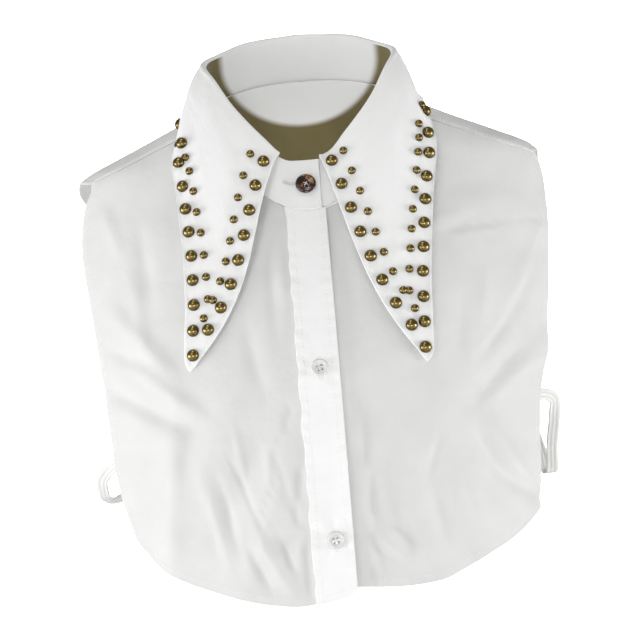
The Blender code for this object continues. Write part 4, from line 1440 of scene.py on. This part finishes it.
# The place of a stud: a distance from the dagger point along an edge of the leaf, and inset from it.
def leafSpot(row, distance, inset):
    even, length = leafEdgeCurve(row.side, row.edge)
    if row.edge == "outer":
        share, down = studEdgeShare * even(distance / length), 1.0
        ahead, inside = (share + 0.002, down), (share, down - 0.02)
    else:
        share, down = 0.0, 1.0 - even(distance / length)
        ahead, inside = (share, down - 0.01), (share + 0.004, down)
    here = leafPoint(row.side, share, down)
    along = (leafPoint(row.side, *ahead) - here).normalized()
    inward = leafPoint(row.side, *inside) - here
    inward = (inward - along * inward.dot(along)).normalized()
    target = here + inward * inset
    for _ in range(8):
        here = leafPoint(row.side, share, down)
        byShare = (leafPoint(row.side, share + 0.002, down) - here) / 0.002
        byDown = (here - leafPoint(row.side, share, down - 0.002)) / 0.002
        off = target - here
        a, b, c = byShare.length_squared, byShare.dot(byDown), byDown.length_squared
        p, q = off.dot(byShare), off.dot(byDown)
        share += min(max((c * p - b * q) / (a * c - b * b), -0.02), 0.02)
        down += min(max((a * q - b * p) / (a * c - b * b), -0.06), 0.06)
    out = byShare.cross(byDown).normalized()
    out = out if out.dot(bodyGap(here)[1]) > 0 else -out
    return here, out


# Domed studs: stamped caps with a small turned-down rim that sits on the cloth.
studs = {
    "sides": 22,
    "smallWidth": 6.0,
    "smallHeight": 2.9,
    # shares of the radius, with heights in mm
    "rim": ((0.86, -0.5), (0.97, -0.1), (1.0, 0.25), (0.975, 0.55)),
    "domeWide": 0.95,
    "domeFoot": 0.6,
    "domeAngles": (12, 26, 40, 54, 68, 80),
}
smallStudRows = [
    studRow("smallStuds_left_outer", -1, "outer", 16.9, 12.4, 53.6, 16.3, 9),
    studRow("smallStuds_left_inner", -1, "front", 15.3, 18.3, 39.8, 16.4, 9),
    studRow("smallStuds_right_outer", 1, "outer", 16.4, 12.8, 54.0, 15.1, 11),
    studRow("smallStuds_right_inner", 1, "front", 17.3, 17.9, 38.0, 16.9, 9),
]


# Turns a profile, given as distances from the axis with heights, all the way round the z axis.
def turnProfile(shape, profile, sides):
    line = [shape.verts.new(Vector((across, 0, up)) * mm) for across, up in profile]
    edges = [shape.edges.new(pair) for pair in zip(line, line[1:])]
    bmesh.ops.spin(
        shape, geom=line + edges, cent=(0, 0, 0), axis=(0, 0, 1), angle=math.tau, steps=sides, use_merge=True
    )


# Adds one stud where matrix puts it. A placed stud's points are tagged, so that later ones leave them alone.
def domeShape(shape, width, height, matrix):
    radius = width / 2
    foot = studs["domeFoot"]
    profile = [(radius * share, up) for share, up in studs["rim"]]
    for angle in studs["domeAngles"]:
        profile.append((radius * studs["domeWide"] * cosOf(angle), foot + (height - foot) * sinOf(angle)))
    profile.append((0.0, height))
    turnProfile(shape, profile, studs["sides"])
    unplaced = [vert for vert in shape.verts if not vert.tag]
    bmesh.ops.remove_doubles(shape, verts=unplaced, dist=weldGap * mm)
    dome = [vert for vert in shape.verts if not vert.tag]
    layer = shape.verts.layers.float.get("domeHeight")
    for vert in dome:
        vert[layer] = vert.co.z / (height * mm)
    bmesh.ops.transform(shape, matrix=matrix, verts=dome)
    for vert in dome:
        vert.tag = True


def makeStudRow(row, width, height):
    shape = bmesh.new()
    shape.verts.layers.float.new("domeHeight")
    for i in range(row.count):
        inset = row.insetAtPoint + (row.insetAtEnd - row.insetAtPoint) * i / (row.count - 1)
        point, out = leafSpot(row, row.first + row.pitch * i, inset)
        seat = point + out * (collarThick / 2 + 0.1)
        domeShape(shape, width, height, Matrix.Translation(seat * mm) @ facing(out))
    bmesh.ops.recalc_face_normals(shape, faces=shape.faces)
    piece = addPiece(row.name.replace("stud_", "studs_"), shape, brass)
    finishPiece(piece, "antique_brass")
    return piece


for row in studRows:
    piece = makeStudRow(row, studWidth, studHeight)
    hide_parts(*[f"{row.name}_{i + 1:02d}" for i in range(row.count)])
for row in smallStudRows:
    makeStudRow(row, studs["smallWidth"], studs["smallHeight"])
print("studs made")


# Four-hole buttons, sewn on with crossed thread.
buttons = {
    "sides": 48,
    "holeSpread": 1.45,
    "holeWidth": 1.5,
    "thread": 0.55,
    "well": 0.68,  # height of the sunk middle, a share of the thickness
    "turn": 12,  # degrees that each is sewn on askew
    "softEdge": 0.12,
    # a button's section, as shares of its radius and its thickness
    "section": (
        (0.0, 0.0), (0.72, 0.0), (0.90, 0.14), (0.98, 0.38), (1.0, 0.60), (0.965, 0.82), (0.89, 0.96),
        (0.80, 1.0), (0.70, 0.95), (0.60, 0.78), (0.50, 0.70), (0.25, 0.68), (0.0, 0.68),
    ),
}
frontButtonPlaces = {"upper": (buttonLine - 0.3, -207), "lower": (buttonLine + 1.0, -328)}


def makeButton(name, width, seat, out, material, slot):
    disc = bmesh.new()
    section = [(width / 2 * wide, buttonThick * up) for wide, up in buttons["section"]]
    turnProfile(disc, section, buttons["sides"])
    bmesh.ops.remove_doubles(disc, verts=disc.verts, dist=weldGap * mm)
    bmesh.ops.recalc_face_normals(disc, faces=disc.faces)
    piece = addPiece("sewn_" + name, disc, material)
    drill = bmesh.new()
    spread = buttons["holeSpread"]
    bore = buttons["holeWidth"] / 2 * mm
    for x, y in ((spread, spread), (-spread, spread), (-spread, -spread), (spread, -spread)):
        bmesh.ops.create_cone(
            drill, cap_ends=True, segments=16, radius1=bore, radius2=bore, depth=8 * mm,
            matrix=Matrix.Translation(Vector((x, y, 1)) * mm),
        )
    cutter = addPiece(name + "_drill", drill, material)
    cut = piece.modifiers.new("holes", "BOOLEAN")
    cut.object = cutter
    cut.solver = "EXACT"
    graph = bpy.context.evaluated_depsgraph_get()
    drilled = bpy.data.meshes.new_from_object(piece.evaluated_get(graph))
    piece.modifiers.clear()
    piece.data = drilled
    bpy.data.objects.remove(cutter)
    askew = Matrix.Rotation(math.radians(buttons["turn"]), 4, "Z")
    place = Matrix.Translation(seat * mm) @ facing(out) @ askew
    piece.data.transform(place)
    soft = piece.modifiers.new("edges", "BEVEL")
    soft.width = buttons["softEdge"] * mm
    soft.segments = 2
    soft.limit_method = "ANGLE"
    soft.angle_limit = math.radians(50)
    finishPiece(piece, slot)
    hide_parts(name)
    sewing = bmesh.new()
    top = buttons["well"] * buttonThick + 0.2
    for x0, y0, x1, y1 in ((spread, spread, -spread, -spread), (-spread, spread, spread, -spread)):
        strandAcross(sewing, Vector((x0, y0, 0)), Vector((x1, y1, 0)), top, buttons["thread"])
    sewn = addPiece(name + "_thread", sewing, thread)
    sewn.data.transform(place)
    finishPiece(sewn, "white_poplin")


# A strand that comes up through one hole and goes down through another.
def strandAcross(shape, start, end, top, thick):
    along = end - start
    points = []
    for i in range(9):
        s = i / 8
        lift = top * min(1.0, 1.6 * math.sin(math.pi * min(max(s, 0.02), 0.98)) ** 0.5)
        points.append(start + along * s + Vector((0, 0, lift)))
    radius = thick / 2
    side = along.cross(Vector((0, 0, 1))).normalized()
    ring = bmesh.ops.create_circle(shape, cap_ends=True, segments=8, radius=radius * mm)
    first = ring["verts"]
    way = (points[1] - points[0]).normalized()
    frameAt = Matrix((side, way.cross(side), way)).transposed().to_4x4()
    bmesh.ops.transform(shape, matrix=Matrix.Translation(points[0] * mm) @ frameAt, verts=first)
    face = next(iter({f for v in first for f in v.link_faces}))
    for before, after in zip(points, points[1:]):
        made = bmesh.ops.extrude_face_region(shape, geom=[face])
        verts = [item for item in made["geom"] if isinstance(item, bmesh.types.BMVert)]
        bmesh.ops.translate(shape, vec=(after - before) * mm, verts=verts)
        face = next(item for item in made["geom"] if isinstance(item, bmesh.types.BMFace))
    bmesh.ops.recalc_face_normals(shape, faces=shape.faces)


def seatOnStand():
    turn = turnAt(-standButtonAcross)
    here = standPoint(turn, standButtonUp)
    along = standPoint(turn + 1, standButtonUp) - here
    out = (standTop(turn) - here).cross(along).normalized()
    return here + out * (collarThick / 2 + 0.35), out


def seatOnPlacket(x, height):
    lift = panelThick / 2 + seamGap + placketThick
    span = frontButtonWidth / 2
    along = frontPoint(x + span, height, lift) - frontPoint(x - span, height, lift)
    upward = frontPoint(x, height + span, lift) - frontPoint(x, height - span, lift)
    out = along.cross(upward).normalized()
    return frontPoint(x, height, lift + creaseHeight(x, height)) + out * 0.35, out


makeButton("stand_button", standButtonWidth, *seatOnStand(), tortoiseshell, "tortoiseshell_resin")
for which, spot in frontButtonPlaces.items():
    makeButton(
        "front_button_" + which, frontButtonWidth, *seatOnPlacket(*spot), plastic, "clear_white_plastic"
    )
print("buttons made")


# Worked buttonholes: close thread bars along both sides of a slit.
buttonholes = {
    "width": 3.4,
    "bar": 0.5,  # from one bar to the next
    "barSize": (3.4 / 4.2, 0.5 / 1.7, 0.28),  # half of a bar's size across the slit, along it and out
    "standLength": 10.5,
    "frontFrom": 5.6,  # on the front, the two ends that show above and below a button
    "frontTo": 8.4,
}


def makeButtonhole(name, placeAt, length):
    shape = bmesh.new()
    bars = int(length / buttonholes["bar"])
    for i in range(bars + 1):
        s = i / bars
        for side in (-1, 1):
            point, along, out = placeAt(s, side * buttonholes["width"] / 4)
            across = out.cross(along).normalized()
            turn = Matrix((across, along, out)).transposed().to_4x4()
            size = Matrix.Diagonal((*buttonholes["barSize"], 1))
            bar = bmesh.ops.create_icosphere(shape, subdivisions=1, radius=mm)
            bmesh.ops.transform(
                shape, matrix=Matrix.Translation(point * mm) @ turn @ size, verts=bar["verts"]
            )
    finishPiece(addPiece(name, shape, thread), "white_poplin")


def onStandFront(s, off):
    low, high = stand["buttonhole"]
    x = low + (high - low) * s
    turn = turnAt(-x)
    up = standButtonUp + off / stand["depth"]
    here = standPoint(turn, up)
    along = (standPoint(turn - 1, up) - here).normalized()
    out = standGap(here)[1]
    return here + out * (collarThick / 2 + 0.05), along, out


def onPlacket(x, height, first, last):

    def at(s, off):
        z = height + first + (last - first) * s
        lift = panelThick / 2 + seamGap + placketThick + 0.22
        here = frontPoint(x + off, z, lift + creaseHeight(x, z))
        above = frontPoint(x + off, z + 1, lift + creaseHeight(x, z))
        out = bodyGap(here)[1]
        return here, (above - here).normalized(), out

    return at


makeButtonhole("buttonhole_stand", onStandFront, buttonholes["standLength"])
near, far = buttonholes["frontFrom"], buttonholes["frontTo"]
for which, spot in frontButtonPlaces.items():
    makeButtonhole(f"buttonhole_{which}_top", onPlacket(*spot, near, far), far - near)
    makeButtonhole(f"buttonhole_{which}_bottom", onPlacket(*spot, -far, -near), far - near)
print("buttonholes made")


# The slack side straps of flat elastic.
straps = {"stations": 90, "columns": 6, "wall": 1.1}


def makeStrap(name, side, table):
    inside = -((panelThick + elasticThick) / 2 + seamGap + strapClearance)
    middles, ways = [], []
    for row in table:
        way = Vector((side * row.acrossX, row.acrossY, row.acrossZ))
        if row.on == "front":
            point = frontPoint(side * row.x, row.z, inside)
            way = point - frontPoint(side * row.x, row.z - 1, inside)
        elif row.on == "back":
            point = liftedBodyPoint(row.x, row.z, side, inside)
            way = liftedBodyPoint(row.x, row.z - 1, side, inside) - point
        else:
            point = Vector((side * row.x, row.y, row.z))
        middles.append(point)
        ways.append(way.normalized())
    places = [0.0]
    for before, after in zip(middles, middles[1:]):
        places.append(places[-1] + (after - before).length)
    middleAt = [smoothThrough(places, [point[i] for point in middles]) for i in range(3)]
    wayAt = [smoothThrough(places, [way[i] for way in ways]) for i in range(3)]

    def place(u, v):
        at = places[-1] * v
        middle = Vector([curve(at) for curve in middleAt])
        ahead = Vector([curve(at + 0.5) for curve in middleAt])
        behind = Vector([curve(at - 0.5) for curve in middleAt])
        run = (ahead - behind).normalized()
        way = Vector([curve(at) for curve in wayAt])
        way = (way - run * way.dot(run)).normalized()
        return middle + way * strapWidth * (u - 0.5)

    across = [i / straps["columns"] for i in range(straps["columns"] + 1)]
    along = [i / straps["stations"] for i in range(straps["stations"] + 1)]
    total = places[-1]
    flat = lambda u, v: (u * strapWidth, v * total)
    even = lambda *spot: 1.0
    piece = clothPiece("elastic_" + name, across, along, place, flat, even, straps["wall"], elastic)
    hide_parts(name)
    print(name, "runs", round(total), "mm")


makeStrap("side_strap_left", -1, leftStrapRows)
makeStrap("side_strap_right", 1, rightStrapRows)
print("straps made")


# Camera and light.
view = {
    "distance": 1.540,  # from the neck's middle to the lens
    "height": -0.173,
    "lens": 36 * 2042 / 640,  # mm on a 36 mm sensor
    "roll": -4.72,  # degrees; the garment leans a little in the picture
}
lamps = {
    # x, y, z, size in metres, watts: soft boxes out at both sides and low in front of them, one facing the
    # chest, one high on the left and one over the neck
    "sideLeft": (-1.6, -0.45, -0.4, 0.6, 12.5),
    "sideRight": (1.6, -0.45, -0.4, 0.6, 12.5),
    "lowLeft": (-1.25, -1.35, -0.55, 0.8, 5.2),
    "lowRight": (1.25, -1.45, -0.5, 0.8, 2.6),
    "front": (0.0, -2.3, -0.68, 0.7, 16.5),
    "high": (-0.7, -1.6, 0.9, 0.9, 5.2),
    "top": (-0.2, -0.5, 1.5, 0.5, 4.0),
    "paper": (0.0, 0.75, 0.85, 0.9, 26.0),  # lights only the part of the backdrop behind the garment
}
light = {
    "paperSpread": 80.0,  # degrees
    "world": 0.27,
    "worldColour": "#f1efe8",
    "boxColour": "#fbfcff",
    "backdrop": 1.9,  # metres behind
}


def makeCamera():
    lens = bpy.data.cameras.new("camera")
    lens.sensor_width = 36
    lens.lens = view["lens"]
    lens.clip_start = 0.05
    holder = bpy.data.objects.new("camera", lens)
    bpy.context.scene.collection.objects.link(holder)
    place = Matrix.Translation((0, -view["distance"], view["height"]))
    turn = Matrix.Rotation(math.radians(90), 4, "X") @ Matrix.Rotation(math.radians(view["roll"]), 4, "Z")
    holder.matrix_world = place @ turn
    bpy.context.scene.camera = holder


def makeLights():
    for name, (x, y, z, size, watts) in lamps.items():
        lamp = bpy.data.lights.new(name, "AREA")
        lamp.size = size
        lamp.energy = watts
        lamp.color = linear(light["boxColour"])[:3]
        holder = bpy.data.objects.new(name, lamp)
        bpy.context.scene.collection.objects.link(holder)
        holder.location = (x, y, z)
        aim = Vector((0, 0, -0.15)) - holder.location
        if name == "paper":
            aim = Vector((0, light["backdrop"], -0.15)) - holder.location
            lamp.spread = math.radians(light["paperSpread"])
        holder.rotation_euler = aim.to_track_quat("-Z", "Y").to_euler()
    world = bpy.data.worlds.new("studio")
    bpy.context.scene.world = world
    world.use_nodes = True
    back = world.node_tree.nodes["Background"]
    back.inputs["Color"].default_value = linear(light["worldColour"])
    back.inputs["Strength"].default_value = light["world"]
    bpy.context.scene.view_settings.view_transform = "Standard"


# A pale floor well below the garment, which curves up behind it into a backdrop. In metres.
paperRoll = {"near": -3.0, "floor": -0.75, "bend": 0.6, "bendSteps": 8, "top": 2.5, "halfWidth": 3.5}


def makeStage():
    sheet = bmesh.new()
    back, floor, bend = light["backdrop"], paperRoll["floor"], paperRoll["bend"]
    profile = [(paperRoll["near"], floor)]
    for i in range(paperRoll["bendSteps"] + 1):
        turn = math.radians(90 * i / paperRoll["bendSteps"])
        profile.append((back - bend + bend * math.sin(turn), floor + bend - bend * math.cos(turn)))
    profile.append((back, paperRoll["top"]))
    line = [sheet.verts.new((-paperRoll["halfWidth"], y, z)) for y, z in profile]
    for before, after in zip(line, line[1:]):
        sheet.edges.new((before, after))
    swept = bmesh.ops.extrude_edge_only(sheet, edges=sheet.edges[:])
    moved = [item for item in swept["geom"] if isinstance(item, bmesh.types.BMVert)]
    bmesh.ops.translate(sheet, vec=(2 * paperRoll["halfWidth"], 0, 0), verts=moved)
    bmesh.ops.recalc_face_normals(sheet, faces=sheet.faces)
    paper = newMaterial("seamlessPaper")
    setSurface(paper, Base_Color=linear("#f7f7f6"), Roughness=0.9)
    stage = addPiece("stage", sheet, paper)
    stage.data.shade_smooth()


makeCamera()
makeLights()
makeStage()
print("camera, lights and stage made")
